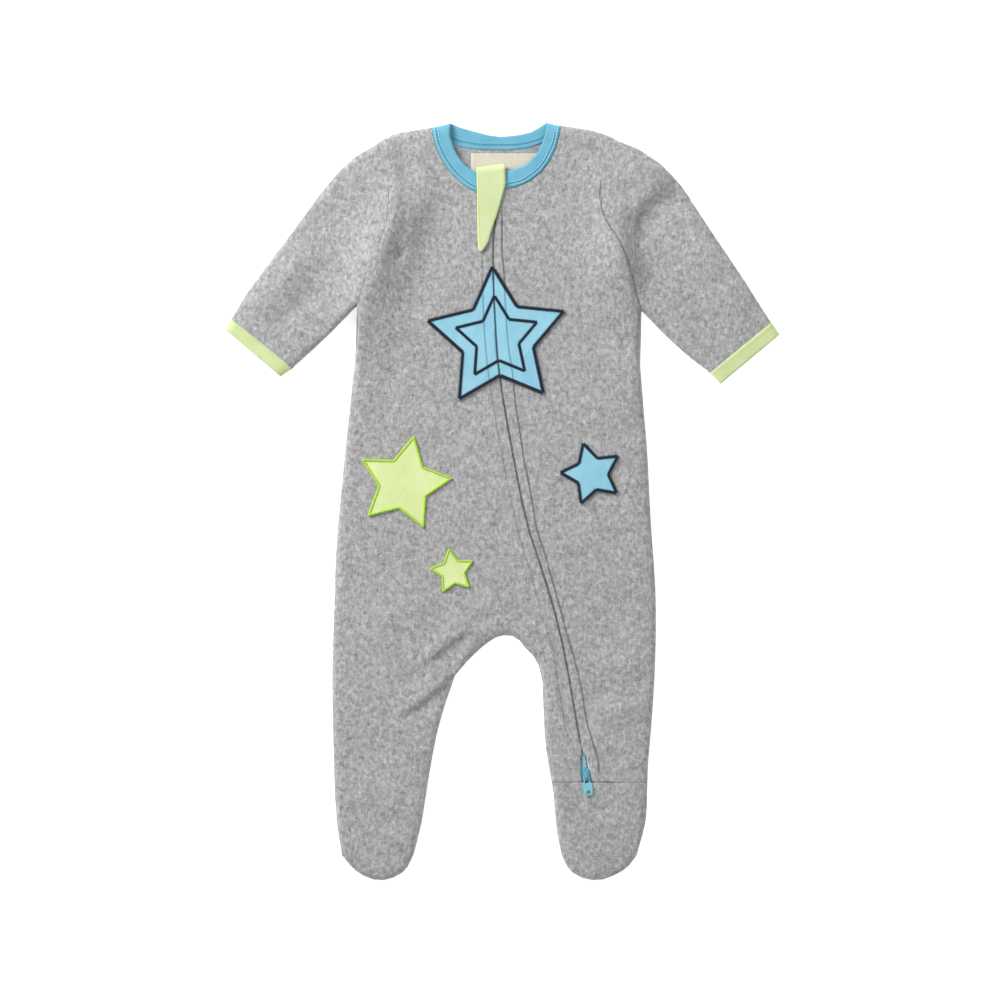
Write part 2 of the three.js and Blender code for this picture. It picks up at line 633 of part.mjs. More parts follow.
const tapeTop = spread(zip.top - chestY, tapeSteps, rows.tape, [0]).map((d) => zip.top - d);
const zipRows = [...tapeTop, ...torsoYs.slice(1), ...legYs.slice(1, -1)];

function zipStrip(from, to, depth, end) {
  const skin = new Skin();
  const ys = [...zipRows.filter((y) => y > end), end];
  const numbers = ys.map((y, i) => [from, to].map((d, j) => skin.add(`${i} ${j}`, () => {
    const x = zipX(y) + d;
    const z = frontUnder(x, y) - zip.under;
    return { outer: [x, y, z], inner: [x, y, z - depth] };
  })));
  skin.weave(numbers);
  return skin;
}

// Solids joined and cut by manifold-3d

function solidOf(geometry) {
  const bare = geometry.clone();
  bare.deleteAttribute('normal');
  bare.deleteAttribute('uv');
  const merged = mergeVertices(bare, weldTolerance);
  return new wasm.Manifold(new wasm.Mesh({
    numProp: 3,
    vertProperties: new Float32Array(merged.attributes.position.array),
    triVerts: new Uint32Array(merged.index.array),
  }));
}

function geometryOf(solid) {
  const mesh = solid.getMesh();
  const geometry = new THREE.BufferGeometry();
  geometry.setAttribute('position', new THREE.BufferAttribute(mesh.vertProperties, 3));
  geometry.setIndex(new THREE.BufferAttribute(mesh.triVerts, 1));
  return geometry;
}

// Motifs: a star cut out of a thin layer that lies on the panel

function starShape(radius, turn) {
  const shape = new THREE.Shape();
  const points = 5;
  for (let k = 0; k < 2 * points; k += 1) {
    const r = k % 2 ? radius * starInner : radius;
    const angle = Math.PI / 2 + THREE.MathUtils.degToRad(turn) + (k * Math.PI) / points;
    const place = [r * Math.cos(angle), r * Math.sin(angle)];
    if (k === 0) shape.moveTo(...place);
    else shape.lineTo(...place);
  }
  shape.closePath();
  return shape;
}

function motif(panel, star) {
  const lifted = (by) => (p) => [p.outer[0], p.outer[1], p.outer[2] + by];
  const layerOn = solidOf(panel.geometry(lifted(badge.gap + badge.thick), lifted(badge.gap)));
  const depth = badge.cutTo - badge.cutFrom;
  const prism = new THREE.ExtrudeGeometry(starShape(star.radius, star.turn), { depth, bevelEnabled: false });
  prism.translate(star.x, star.y, badge.cutFrom);
  return geometryOf(layerOn.intersect(solidOf(prism)));
}

// Zip slider and pull tab, made along X and turned to the zip's direction

const zipTurn = Math.atan2(slider.zipTo - slider.zipFrom, zipX(slider.zipTo) - zipX(slider.zipFrom));

function place(geometry) {
  return geometry.rotateZ(zipTurn).translate(slider.at[0], slider.at[1], 0);
}

function block(along0, along1, half, z0, z1) {
  const geometry = new THREE.BoxGeometry(along1 - along0, 2 * half, z1 - z0);
  return geometry.translate((along0 + along1) / 2, 0, (z0 + z1) / 2);
}

function sliderBody() {
  const half = slider.length / 2;
  const neck = [half - slider.neckLength, half - slider.neckInset];
  const { bridgeHalf, bridgeThick, bridgeWidth, bridgeTop, topPlate, bottomPlate, weld } = slider;
  const post = [bridgeWidth / 2, topPlate[1] - weld, bridgeTop - weld];
  const blocks = [
    block(-half, half, slider.width / 2, ...topPlate),
    block(-half, half, slider.width / 2, ...bottomPlate),
    block(...neck, slider.neckWidth / 2, bottomPlate[0] + weld, topPlate[1] - weld),
    block(-bridgeHalf, -bridgeHalf + bridgeThick, ...post),
    block(bridgeHalf - bridgeThick, bridgeHalf, ...post),
    block(-bridgeHalf, bridgeHalf, bridgeWidth / 2, bridgeTop - bridgeThick, bridgeTop),
  ];
  return geometryOf(blocks.map(solidOf).reduce((whole, next) => whole.add(next)));
}

function pullTab() {
  const { axis, thick, eyeHalf, windowHalf, windowEnd, flareEnd, half, end, corner, holeAt } = pull;
  const start = axis - thick / 2;
  const shape = new THREE.Shape();
  shape.moveTo(start, -eyeHalf);
  shape.lineTo(windowEnd, -eyeHalf);
  shape.lineTo(flareEnd, -half);
  shape.lineTo(end - corner, -half);
  shape.lineTo(end, -half + corner);
  shape.lineTo(end, half - corner);
  shape.lineTo(end - corner, half);
  shape.lineTo(flareEnd, half);
  shape.lineTo(windowEnd, eyeHalf);
  shape.lineTo(start, eyeHalf);
  shape.closePath();
  const window = new THREE.Path();
  window.moveTo(axis + thick / 2, -windowHalf);
  window.lineTo(axis + thick / 2, windowHalf);
  window.lineTo(windowEnd, windowHalf);
  window.lineTo(windowEnd, -windowHalf);
  window.closePath();
  const hole = new THREE.Path();
  hole.absarc(holeAt, 0, pull.holeRadius, 0, 2 * Math.PI, true);
  shape.holes.push(window, hole);
  const geometry = new THREE.ExtrudeGeometry(shape, { depth: thick, bevelEnabled: false, curveSegments: 6 });
  return geometry.translate(0, 0, pull.height - thick / 2);
}

// The scene graph

const group = new THREE.Group();
group.name = 'onesie_pajama';

function put(name, geometry, color, surface = finish.fleece) {
  geometry.deleteAttribute('uv');
  geometry.computeVertexNormals();
  const mesh = new THREE.Mesh(geometry, new THREE.MeshStandardMaterial({ color, ...surface }));
  mesh.name = name;
  group.add(mesh);
}

const panels = { right: frontRight(), left: frontLeft() };
put('back_panel', back().geometry(), colours.fleece);
put('front_right_panel', panels.right.geometry(), colours.fleece);
put('front_left_panel', panels.left.geometry(), colours.fleece);
put('left_foot_top', footTop().geometry(), colours.fleece);
put('sleeve_right', sleeve('right').geometry(), colours.fleece);
put('sleeve_left', sleeve('left').geometry(), colours.fleece);
put('cuff_right', cuffBand('right').geometry(), colours.lime);
put('cuff_left', cuffBand('left').geometry(), colours.lime);
put('neck_binding', neckBinding().geometry(), colours.binding);
put('chin_tab', chinTab().geometry(), colours.tab);
const middle = ([from, to]) => (from + to) / 2;
const span = ([from, to]) => to - from;
const labelBox = new THREE.BoxGeometry(span(label.x), span(label.y), span(label.z));
labelBox.translate(middle(label.x), middle(label.y), middle(label.z));
put('neck_label', labelBox, colours.cream, finish.woven);
const tape = (from, to) => zipStrip(from, to, zip.tapeWall, zip.end).geometry();
put('zip_tape_right', tape(-zip.tapeTo, -zip.tapeFrom), colours.tape, finish.woven);
put('zip_tape_left', tape(zip.tapeFrom, zip.tapeTo), colours.tape, finish.woven);
const coilEnd = slider.at[1] - slider.length / 2 + slider.neckLength + 2 * seamGap;
const coil = zipStrip(-zip.coilHalf, zip.coilHalf, zip.coilDepth, coilEnd).geometry();
put('zip_coil', coil, colours.tape, finish.coil);
put('zip_slider', place(sliderBody()), colours.enamel, finish.enamel);
put('zip_pull', place(pullTab()), colours.enamel, finish.enamel);
stars.forEach((star) => put(star.name, motif(panels[star.side], star), star.colour));

export default group;
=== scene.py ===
import math
import bmesh
import bpy
import numpy as np
from mathutils import Matrix, Vector
from mathutils.bvhtree import BVHTree


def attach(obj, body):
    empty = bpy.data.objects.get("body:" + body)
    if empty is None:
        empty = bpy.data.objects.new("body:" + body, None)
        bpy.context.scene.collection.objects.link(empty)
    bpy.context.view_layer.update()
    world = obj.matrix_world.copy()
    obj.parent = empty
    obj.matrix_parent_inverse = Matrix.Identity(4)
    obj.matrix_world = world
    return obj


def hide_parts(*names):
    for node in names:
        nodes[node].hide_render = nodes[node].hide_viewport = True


# A baby's footed zip sleeper in marled fleece, flat on a pale table.
# The scene is in metres. Tables of places and sizes are in millimetres, in the same frame.

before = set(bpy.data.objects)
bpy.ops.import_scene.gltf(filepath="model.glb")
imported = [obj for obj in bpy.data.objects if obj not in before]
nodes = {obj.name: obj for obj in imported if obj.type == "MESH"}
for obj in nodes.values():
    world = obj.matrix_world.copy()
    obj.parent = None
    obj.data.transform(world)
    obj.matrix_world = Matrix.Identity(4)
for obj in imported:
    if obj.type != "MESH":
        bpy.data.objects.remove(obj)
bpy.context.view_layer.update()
mm = 0.001


# Shader helpers


class Wire:
    # One output of a node. Sums on wires become Math nodes.
    def __init__(self, finish, socket):
        self.finish = finish
        self.socket = socket

    def math(self, operation, *values):
        return self.finish.node(
            "ShaderNodeMath", {"operation": operation}, dict(enumerate(values))
        )["Value"]

    def __add__(self, other):
        return self.math("ADD", self, other)

    def __radd__(self, other):
        return self.math("ADD", other, self)

    def __sub__(self, other):
        return self.math("SUBTRACT", self, other)

    def __rsub__(self, other):
        return self.math("SUBTRACT", other, self)

    def __mul__(self, other):
        return self.math("MULTIPLY", self, other)

    def __abs__(self):
        return self.math("ABSOLUTE", self)

    def sine(self):
        return self.math("SINE", self)

    def fade(self, start, end):
        # 0 at start, 1 at end, smooth between them
        return self.finish.node(
            "ShaderNodeMapRange",
            {"interpolation_type": "SMOOTHSTEP"},
            {"Value": self, "From Min": start, "From Max": end},
        )["Result"]


class Finish:
    # A material with one Principled shader
    def __init__(self, name, **constants):
        self.material = bpy.data.materials.new(name)
        self.material.use_nodes = True
        self.tree = self.material.node_tree
        self.shader = self.tree.nodes["Principled BSDF"]
        for label, value in constants.items():
            self.shader.inputs[label.replace("_", " ")].default_value = value

    def node(self, kind, settings, values):
        made = self.tree.nodes.new(kind)
        for label, value in settings.items():
            if label == "stops":
                ramp = made.color_ramp
                while len(ramp.elements) < len(value):
                    ramp.elements.new(0.5)
                for stop, (place, colour) in zip(ramp.elements, value):
                    stop.position = place
                    stop.color = (*colour, 1)
            else:
                setattr(made, label, value)
        for label, value in values.items():
            self.join(made.inputs[label], value)
        return {s.name: Wire(self, s) for s in made.outputs if s.enabled}

    def join(self, socket, value):
        if isinstance(value, Wire):
            self.tree.links.new(value.socket, socket)
        elif isinstance(value, tuple) and len(value) == 3 and socket.type == "RGBA":
            socket.default_value = (*value, 1)
        else:
            socket.default_value = value

    def place(self, stretch=(1, 1, 1), turn=0):
        # Object coordinates, stretched and turned about Z
        spot = self.node("ShaderNodeTexCoord", {}, {})["Object"]
        return self.node(
            "ShaderNodeMapping", {}, {"Vector": spot, "Scale": stretch, "Rotation": (0, 0, turn)}
        )["Vector"]

    def strand(self, name):
        # The piece's own UV map, in metres along and across
        return self.node("ShaderNodeUVMap", {"uv_map": name}, {})["UV"]

    def noise(self, scale, detail=2, rough=0.5, bend=0, **placing):
        spot = self.place(**placing)
        return self.node(
            "ShaderNodeTexNoise",
            {},
            {"Vector": spot, "Scale": scale, "Detail": detail, "Roughness": rough, "Distortion": bend},
        )["Fac"]

    def number(self, name):
        return self.node("ShaderNodeAttribute", {"attribute_name": name}, {})["Fac"]

    def blend(self, share, first, second):
        # The Mix node's sockets for a colour are those numbered 6 and 7
        return self.node(
            "ShaderNodeMix",
            {"data_type": "RGBA", "blend_type": "MIX", "clamp_factor": True},
            {0: share, 6: first, 7: second},
        )["Result"]

    def ramp(self, share, stops):
        return self.node("ShaderNodeValToRGB", {"stops": stops}, {"Fac": share})["Color"]

    def parts(self, vector):
        return self.node("ShaderNodeSeparateXYZ", {}, {"Vector": vector})

    def bump(self, height, depth):
        return self.node(
            "ShaderNodeBump", {}, {"Height": height, "Distance": depth * mm, "Strength": 1.0}
        )["Normal"]

    def wear(self, **links):
        for label, wire in links.items():
            self.join(self.shader.inputs[label.replace("_", " ")], wire)
        return self.material


def tint(red, green, blue):
    # A screen colour, 0 to 255, as the shader's own
    return tuple(
        (c / 255 / 12.92) if c <= 10.31 else ((c / 255 + 0.055) / 1.055) ** 2.4
        for c in (red, green, blue)
    )


# Lines and distances, in millimetres


def smoothLine(points, step):
    # A curve through the points, as even points about a step apart
    p = np.array(points, float)
    p = np.vstack([2 * p[0] - p[1], p, 2 * p[-1] - p[-2]])
    t = np.linspace(0, 1, 12, endpoint=False)[:, None]
    fine = [
        0.5 * (2 * b + (c - a) * t + (2 * a - 5 * b + 4 * c - d) * t**2 + (3 * b - 3 * c + d - a) * t**3)
        for a, b, c, d in zip(p, p[1:], p[2:], p[3:])
    ]
    fine = np.vstack([*fine, p[-2:-1]])
    along = np.concatenate([[0], np.cumsum(np.linalg.norm(np.diff(fine, axis=0), axis=1))])
    count = max(2, round(along[-1] / step) + 1)
    even = np.linspace(0, along[-1], count)
    return np.column_stack([np.interp(even, along, fine[:, k]) for k in (0, 1)])


def besideLine(line, offset):
    # The line moved to its left by the offset
    way = np.gradient(line, axis=0)
    way /= np.linalg.norm(way, axis=1)[:, None]
    return line + offset * np.column_stack([-way[:, 1], way[:, 0]])


def fromLine(xy, line):
    # For each point: signed distance to the line, left of it positive, and the share along it
    best = np.full(len(xy), 1e9)
    side = np.zeros(len(xy))
    share = np.zeros(len(xy))
    count = len(line) - 1
    for k, (a, b) in enumerate(zip(line, line[1:])):
        run = b - a
        gone = np.clip(((xy - a) @ run) / (run @ run), 0, 1)
        off = xy - a - gone[:, None] * run
        distance = np.hypot(off[:, 0], off[:, 1])
        closer = distance < best
        best[closer] = distance[closer]
        side[closer] = np.sign(run[0] * (xy[closer, 1] - a[1]) - run[1] * (xy[closer, 0] - a[0]))
        share[closer] = (k + gone[closer]) / count
    return best * np.where(side < 0, -1, 1), share


def ease(value, start, end):
    t = np.clip((value - start) / (end - start), 0, 1)
    return t * t * (3 - 2 * t)


# Creases of the front, in the order of the body's parts. Each runs along its path, with a half width
# on its left and on its right. A trough has a negative height.

frontCreases = [
    # Below the right armhole
    {"height": 2.8, "width": (16, 26),
     "path": [(-86, 300), (-86, 270), (-84, 246), (-88, 226), (-97, 207), (-106, 186), (-113, 160),
              (-116, 130), (-120, 100), (-126, 56)]},
    {"height": 8.2, "width": (25, 24),
     "path": [(-80, 262), (-82, 240), (-90, 215), (-98, 190), (-106, 167), (-112, 142), (-118, 108)]},
    {"height": 4.2, "width": (34, 24),
     "path": [(-86, 300), (-86, 262), (-85, 236), (-94, 212), (-107, 184), (-114, 150), (-118, 110)]},
    {"height": -4.2, "width": (22, 18),
     "path": [(-54, 262), (-52, 236), (-60, 208), (-72, 182), (-86, 150)]},
    {"height": -1.2, "width": (10, 8), "path": [(-98, 130), (-90, 108), (-94, 84)]},
    # Below the left armhole
    {"height": 6.8, "width": (11, 34),
     "path": [(140, 274), (121, 256), (108, 238), (104, 218), (108, 200), (114, 172), (121, 140)]},
    {"height": 5.6, "width": (7, 20),
     "path": [(103, 252), (95, 230), (95, 214), (99, 200), (103, 186), (106, 171), (109, 155),
              (113, 136)]},
    {"height": -4.8, "width": (10, 8),
     "path": [(154, 260), (135, 245), (120, 231), (113, 215), (113.5, 200), (116.5, 185), (121, 160)]},
    {"height": 1.2, "width": (16, 14), "path": [(178, 240), (160, 224), (150, 204), (148, 180)]},
    {"height": 1.0, "width": (7, 12), "path": [(88, 206), (84, 182), (92, 152)]},
    {"height": -0.9, "width": (6, 5), "path": [(112, 152), (92, 142), (74, 140)]},
    # From the crotch into the right leg
    {"height": 2.5, "width": (3, 10),
     "path": [(-23, -101), (-31.3, -108.1), (-42.2, -115), (-52, -123.8), (-59, -127.8), (-68, -131.5)]},
    {"height": -1.6, "width": (8, 3), "path": [(-28, -109), (-40, -118), (-50, -127), (-60, -133)]},
    {"height": -1.4, "width": (3, 3), "path": [(-34, -116), (-38, -128), (-40, -140)]},
    {"height": 2.7, "width": (3, 9),
     "path": [(-36, -139.5), (-44.1, -145.6), (-58.9, -157.5), (-68.8, -166.4), (-76.7, -171.3),
              (-88, -176)]},
    {"height": -1.6, "width": (8, 3), "path": [(-40, -147), (-56, -161), (-66, -170), (-76, -176)]},
    {"height": -1.2, "width": (6, 8), "path": [(-60, -138), (-78, -148), (-96, -150)]},
    # Round the arch and down beside the zip
    {"height": -0.7, "width": (3, 3),
     "path": [(-37, -127), (-29, -108), (-18, -98), (3, -94.5), (20, -102), (30, -116)]},
    {"height": 1.9, "width": (3, 8), "path": [(19, -95), (26, -105), (31, -116), (33, -126)]},
    {"height": 1.6, "width": (2.8, 7), "path": [(36, -100), (41, -118), (45, -138)]},
    {"height": -1.7, "width": (3, 2.6), "path": [(45, -140), (49, -158), (52, -178)]},
    {"height": -1.0, "width": (2.6, 2.4), "path": [(53, -172), (57, -190), (60, -206)]},
    # Left leg
    {"height": -2.0, "width": (6, 7),
     "path": [(96, -150), (82, -158), (70, -168), (68, -182), (69, -200)]},
    {"height": 2.2, "width": (8, 9), "path": [(76, -138), (96, -134), (116, -140)]},
    {"height": 1.8, "width": (8, 8), "path": [(84, -178), (100, -172), (114, -178)]},
    {"height": -1.3, "width": (6, 6), "path": [(86, -206), (98, -212), (112, -208)]},
    # Right foot
    {"height": 2.2, "width": (9, 10), "path": [(-118, -232), (-98, -240), (-80, -238)]},
    {"height": -1.4, "width": (7, 6), "path": [(-122, -254), (-100, -262), (-82, -258)]},
    {"height": -1.4, "width": (8, 7), "path": [(-128, -196), (-104, -206), (-78, -202)]},
    # Left foot
    {"height": -1.4, "width": (6, 6), "path": [(58, -246), (74, -252), (92, -250)]},
    {"height": 1.4, "width": (8, 7), "path": [(60, -272), (80, -266), (98, -272)]},
    # Right sleeve
    {"height": 2.6, "width": (9, 14), "path": [(-204, 156), (-176, 186), (-152, 218)]},
    {"height": -1.6, "width": (6, 7), "path": [(-192, 138), (-166, 160), (-144, 178)]},
    {"height": -1.2, "width": (6, 8), "path": [(-166, 222), (-144, 212), (-128, 192)]},
    # Left sleeve
    {"height": 2.4, "width": (13, 9), "path": [(206, 154), (180, 186), (158, 214)]},
    {"height": -1.6, "width": (7, 6), "path": [(190, 128), (168, 150), (148, 172)]},
    {"height": -1.1, "width": (6, 6), "path": [(190, 186), (172, 176), (158, 182)]},
    # Sides of the body
    {"height": -1.3, "width": (8, 6), "path": [(120, 62), (100, 52), (84, 56)]},
    {"height": -1.3, "width": (8, 7), "path": [(122, -18), (100, -32), (80, -30)]},
    {"height": -1.3, "width": (7, 8), "path": [(-130, 42), (-112, 28), (-98, 34)]},
    {"height": -1.2, "width": (8, 8), "path": [(-136, -58), (-112, -66), (-92, -60)]},
    {"height": 1.4, "width": (9, 8), "path": [(-120, -110), (-100, -98), (-76, -104)]},
]

backCreases = [
    # Armholes
    {"height": 1.3, "width": (7, 7), "path": [(-80, 286), (-76, 240), (-84, 190)]},
    {"height": 1.3, "width": (7, 7), "path": [(76, 284), (72, 240), (82, 188)]},
    # Crotch
    {"height": 1.4, "width": (5, 5), "path": [(-24, -104), (-50, -124), (-70, -132)]},
    {"height": 1.3, "width": (5, 5), "path": [(-36, -140), (-58, -158), (-80, -170)]},
    {"height": 1.3, "width": (5, 5), "path": [(26, -118), (46, -128), (70, -128)]},
    {"height": 1.2, "width": (5, 5), "path": [(40, -150), (62, -166), (90, -166)]},
    # Body
    {"height": 0.8, "width": (10, 10), "path": [(-100, 150), (-60, 138), (-16, 146)]},
    {"height": 0.8, "width": (10, 10), "path": [(92, 140), (52, 126), (10, 132)]},
    {"height": 0.7, "width": (9, 9), "path": [(-114, 20), (-70, 4), (-30, 10)]},
    {"height": 0.7, "width": (9, 9), "path": [(104, -20), (66, -34), (22, -26)]},
    # Feet
    {"height": 0.9, "width": (7, 7), "path": [(-120, -210), (-96, -222), (-72, -216)]},
    {"height": 0.9, "width": (7, 7), "path": [(56, -214), (80, -226), (106, -220)]},
    {"height": 0.9, "width": (6, 6), "path": [(-128, -252), (-104, -262), (-84, -258)]},
    {"height": 0.9, "width": (6, 6), "path": [(58, -262), (82, -256), (104, -266)]},
]


creaseForm = {"step": 4, "reach": 3, "level": 0.82, "wave": 0.18, "turns": 9, "shift": 1.7, "taper": 0.7}


def creaseHeight(xy, creases):
    # Each crease swells towards its middle, unevenly, and falls off to both sides
    form = creaseForm
    height = np.zeros(len(xy))
    for number, crease in enumerate(creases):
        line = smoothLine(crease["path"], form["step"])
        left, right = crease["width"]
        reach = form["reach"] * max(left, right)
        near = np.all((xy > line.min(0) - reach) & (xy < line.max(0) + reach), axis=1)
        if not near.any():
            continue
        distance, share = fromLine(xy[near], line)
        uneven = form["level"] + form["wave"] * np.sin(form["turns"] * share + form["shift"] * number)
        swell = np.clip(np.sin(math.pi * share), 0, 1) ** form["taper"]
        width = np.where(distance > 0, left, right)
        height[near] += crease["height"] * uneven * swell * np.exp(-((distance / width) ** 2))
    return height


# Crossing waves of the slack cloth. Along X and along Y each has a length, the share and the length
# of the wave that bends it, and a phase.
slackWaves = [
    {"height": 0.6, "x": (31, 0.9, 47, 0.6), "y": (38, 0.7, 52, 1.9)},
    {"height": 0.2, "x": (13, 1.3, 29, 2.2), "y": (17, 1.1, 23, 0.4)},
]


def bentWave(ahead, aside, length, bend, bendLength, phase):
    return np.sin(ahead / length + bend * np.sin(aside / bendLength) + phase)


def slackHeight(xy):
    # The cloth's broad unevenness
    x, y = xy[:, 0], xy[:, 1]
    return sum(w["height"] * (bentWave(x, y, *w["x"]) * bentWave(y, x, *w["y"])) for w in slackWaves)


# Where the tab and the slider lie on the front, it is still this near to their line, and free from there
heldDown = [
    {"path": [(-14, 204), (-9, 274)], "still": 15, "free": 30},
    {"path": [(67, -218), (70, -242)], "still": 9, "free": 24},
]


def liftAt(xy):
    # How far the front is moved at each point
    lift = creaseHeight(xy, frontCreases) + slackHeight(xy)
    for place in heldDown:
        distance = np.abs(fromLine(xy, np.array(place["path"], float))[0])
        lift *= ease(distance, place["still"], place["free"])
    return lift


# Building cloth from the solids


# Distances in metres, angles in degrees
weld = 1e-6
cutting = {"flat": 35, "skewed": 65, "rounds": 6, "corner": 48, "soften": 0.5, "softenCorners": 0.35}


def clothFrom(nodeName, pieceName, style):
    # A merged copy of the solid, cut finer and smoothed, so that its facets and hard rims go
    bm = bmesh.new()
    bm.from_mesh(nodes[nodeName].data)
    bmesh.ops.remove_doubles(bm, verts=bm.verts, dist=weld)
    bmesh.ops.join_triangles(
        bm,
        faces=bm.faces,
        angle_face_threshold=math.radians(cutting["flat"]),
        angle_shape_threshold=math.radians(cutting["skewed"]),
    )
    for _ in range(cutting["rounds"]):
        tooLong = [e for e in bm.edges if e.calc_length() > style["longest"] * mm]
        if not tooLong:
            break
        bmesh.ops.subdivide_edges(bm, edges=tooLong, cuts=1, use_grid_fill=True)
    sharpest = math.radians(cutting["corner"])
    corners = [e for e in bm.edges if e.is_manifold and e.calc_face_angle() > sharpest]
    for edge in corners:
        edge.smooth = not style.get("crisp", False)
    hard = {v for e in corners for v in e.verts}
    loose = [v for v in bm.verts if v not in hard]
    for _ in range(style["smoothing"]):
        bmesh.ops.smooth_vert(
            bm, verts=loose, factor=cutting["soften"], use_axis_x=True, use_axis_y=True, use_axis_z=True
        )
    bmesh.ops.smooth_vert(bm, verts=list(hard), factor=cutting["softenCorners"], use_axis_z=True)
    return pieceFrom(bm, pieceName, nodeName)


def pieceFrom(bm, pieceName, nodeName, body="garment"):
    for face in bm.faces:
        face.smooth = True
    mesh = bpy.data.meshes.new(pieceName)
    bm.to_mesh(mesh)
    bm.free()
    piece = bpy.data.objects.new(pieceName, mesh)
    bpy.context.scene.collection.objects.link(piece)
    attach(piece, body)
    if nodeName:
        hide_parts(nodeName)
    return piece


def cornersOf(piece):
    flat = np.empty(len(piece.data.vertices) * 3, np.float32)
    piece.data.vertices.foreach_get("co", flat)
    return flat.reshape(-1, 3).astype(float) / mm


def moveCorners(piece, corners):
    piece.data.vertices.foreach_set("co", (corners * mm).astype(np.float32).ravel())
    piece.data.update()


# Heights in millimetres at which a layer takes none and all of its creases, the lowest that a trough
# of the front comes, and the most that the back is lifted. A side is an inner or an outer one by how
# far up it faces.
upperLayer = {"none": 2.9, "full": 4.2, "lowest": 3.7, "inner": -0.3, "outer": 0.3}
lowerLayer = {"full": 1.7, "none": 2.6, "most": 1.6}


def creaseFront(piece, thick=1.6, above=0):
    # The upper layer takes the creases, and the layer on the table none.
    # The piece is so thick, with its top so far above the panels. Troughs stop short of the layer below.
    p = cornersOf(piece)
    normals = np.empty(len(p) * 3, np.float32)
    piece.data.vertices.foreach_get("normal", normals)
    outer = ease(normals.reshape(-1, 3)[:, 2], upperLayer["inner"], upperLayer["outer"])
    room = np.maximum(p[:, 2] + thick * (1 - outer) - above - upperLayer["lowest"], 0.01)
    lift = liftAt(p[:, :2])
    lift = np.where(lift < 0, -room * (1 - np.exp(np.minimum(lift, 0) / room)), lift)
    p[:, 2] += ease(p[:, 2], upperLayer["none"], upperLayer["full"]) * lift
    moveCorners(piece, p)


def creaseBack(piece):
    # Creases of the lower layer lift off the table
    p = cornersOf(piece)
    lift = np.clip(creaseHeight(p[:, :2], backCreases), 0, lowerLayer["most"])
    p[:, 2] += lift * (1 - ease(p[:, 2], lowerLayer["full"], lowerLayer["none"]))
    moveCorners(piece, p)


# Sewn lines of the solids, in millimetres
leftArmhole = [(81, 254.5), (82, 240), (87, 226), (97.5, 210), (105, 190), (110, 172)]
innerSeams = {
    "armholeRight": [(-102, 293.5), (-94.5, 271), (-92, 246.5), (-94.5, 223.5), (-101.5, 205.5),
                     (-108.5, 187.5), (-118.5, 159.5)],
    "armholeLeft": [(91.5, 298), (85.5, 279), *leftArmhole, (115, 155.5)],
    "foot": [(42, -231), (120, -231)],
}
seamStep = 4
seamPull = {"reach": 2.4, "draw": 0.135, "ends": 0.02}


def awayFromEnds(share, ends):
    return ease(share, 0, ends) * (1 - ease(share, 1 - ends, 1))


def closeSeams(piece):
    # Sewn edges draw together, so that no dark gap is left between them
    reach = seamPull["reach"]
    p = cornersOf(piece)
    for points in innerSeams.values():
        line = smoothLine(points, seamStep)
        distance, share = fromLine(p[:, :2], line)
        last = len(line) - 1
        run = np.gradient(line, axis=0)[np.minimum((share * last).astype(int), last)]
        run /= np.linalg.norm(run, axis=1)[:, None]
        left = np.column_stack([-run[:, 1], run[:, 0]])
        near = np.clip(1 - np.abs(distance) / reach, 0, 1) * (np.abs(distance) < reach)
        inside = awayFromEnds(share, seamPull["ends"])
        p[:, :2] -= left * (np.sign(distance) * near * inside * seamPull["draw"])[:, None]
    moveCorners(piece, p)


# Heights at which the lower and the upper layer is marked, and the farthest that is told from a line
seamMark = {"lower": 2.5, "upper": 4.5, "farthest": 12, "ends": 0.02}
# The share of a sewn line over which each end fades, where it is longer
fadingEnds = {"foot": 0.42, "armhole": 0.15}


def markLine(piece, name, points, upper=True):
    # Signed distance in millimetres to a sewn line, and where it shows: away from its ends, on one layer
    p = cornersOf(piece)
    distance, share = fromLine(p[:, :2], smoothLine(points, seamStep))
    onLayer = ease(p[:, 2], seamMark["lower"], seamMark["upper"])
    if not upper:
        onLayer = 1 - onLayer
    shown = awayFromEnds(share, fadingEnds.get(name, seamMark["ends"])) * onLayer
    farthest = seamMark["farthest"]
    for label, values in ((name, np.clip(distance, -farthest, farthest)), (name + "Shown", shown)):
        layer = piece.data.attributes.new(label, "FLOAT", "POINT")
        layer.data.foreach_set("value", values.astype(np.float32))


lowerBand = 2.9


def mapAlong(piece, line, lowerLine=None):
    # A UV map in metres, along and across a line. The layer on the table may have a line of its own.
    p = cornersOf(piece)
    distance, share = fromLine(p[:, :2], line)
    uv = np.column_stack([share * np.linalg.norm(np.diff(line, axis=0), axis=1).sum(), distance]) * mm
    if lowerLine is not None:
        low = p[:, 2] < lowerBand
        distance, share = fromLine(p[low, :2], lowerLine)
        length = np.linalg.norm(np.diff(lowerLine, axis=0), axis=1).sum()
        uv[low] = np.column_stack([share * length, distance]) * mm
    layer = piece.data.uv_layers.new(name="strand")
    corner = np.empty(len(piece.data.loops), np.int32)
    piece.data.loops.foreach_get("vertex_index", corner)
    layer.data.foreach_set("uv", uv[corner].astype(np.float32).ravel())


# Cloth finishes

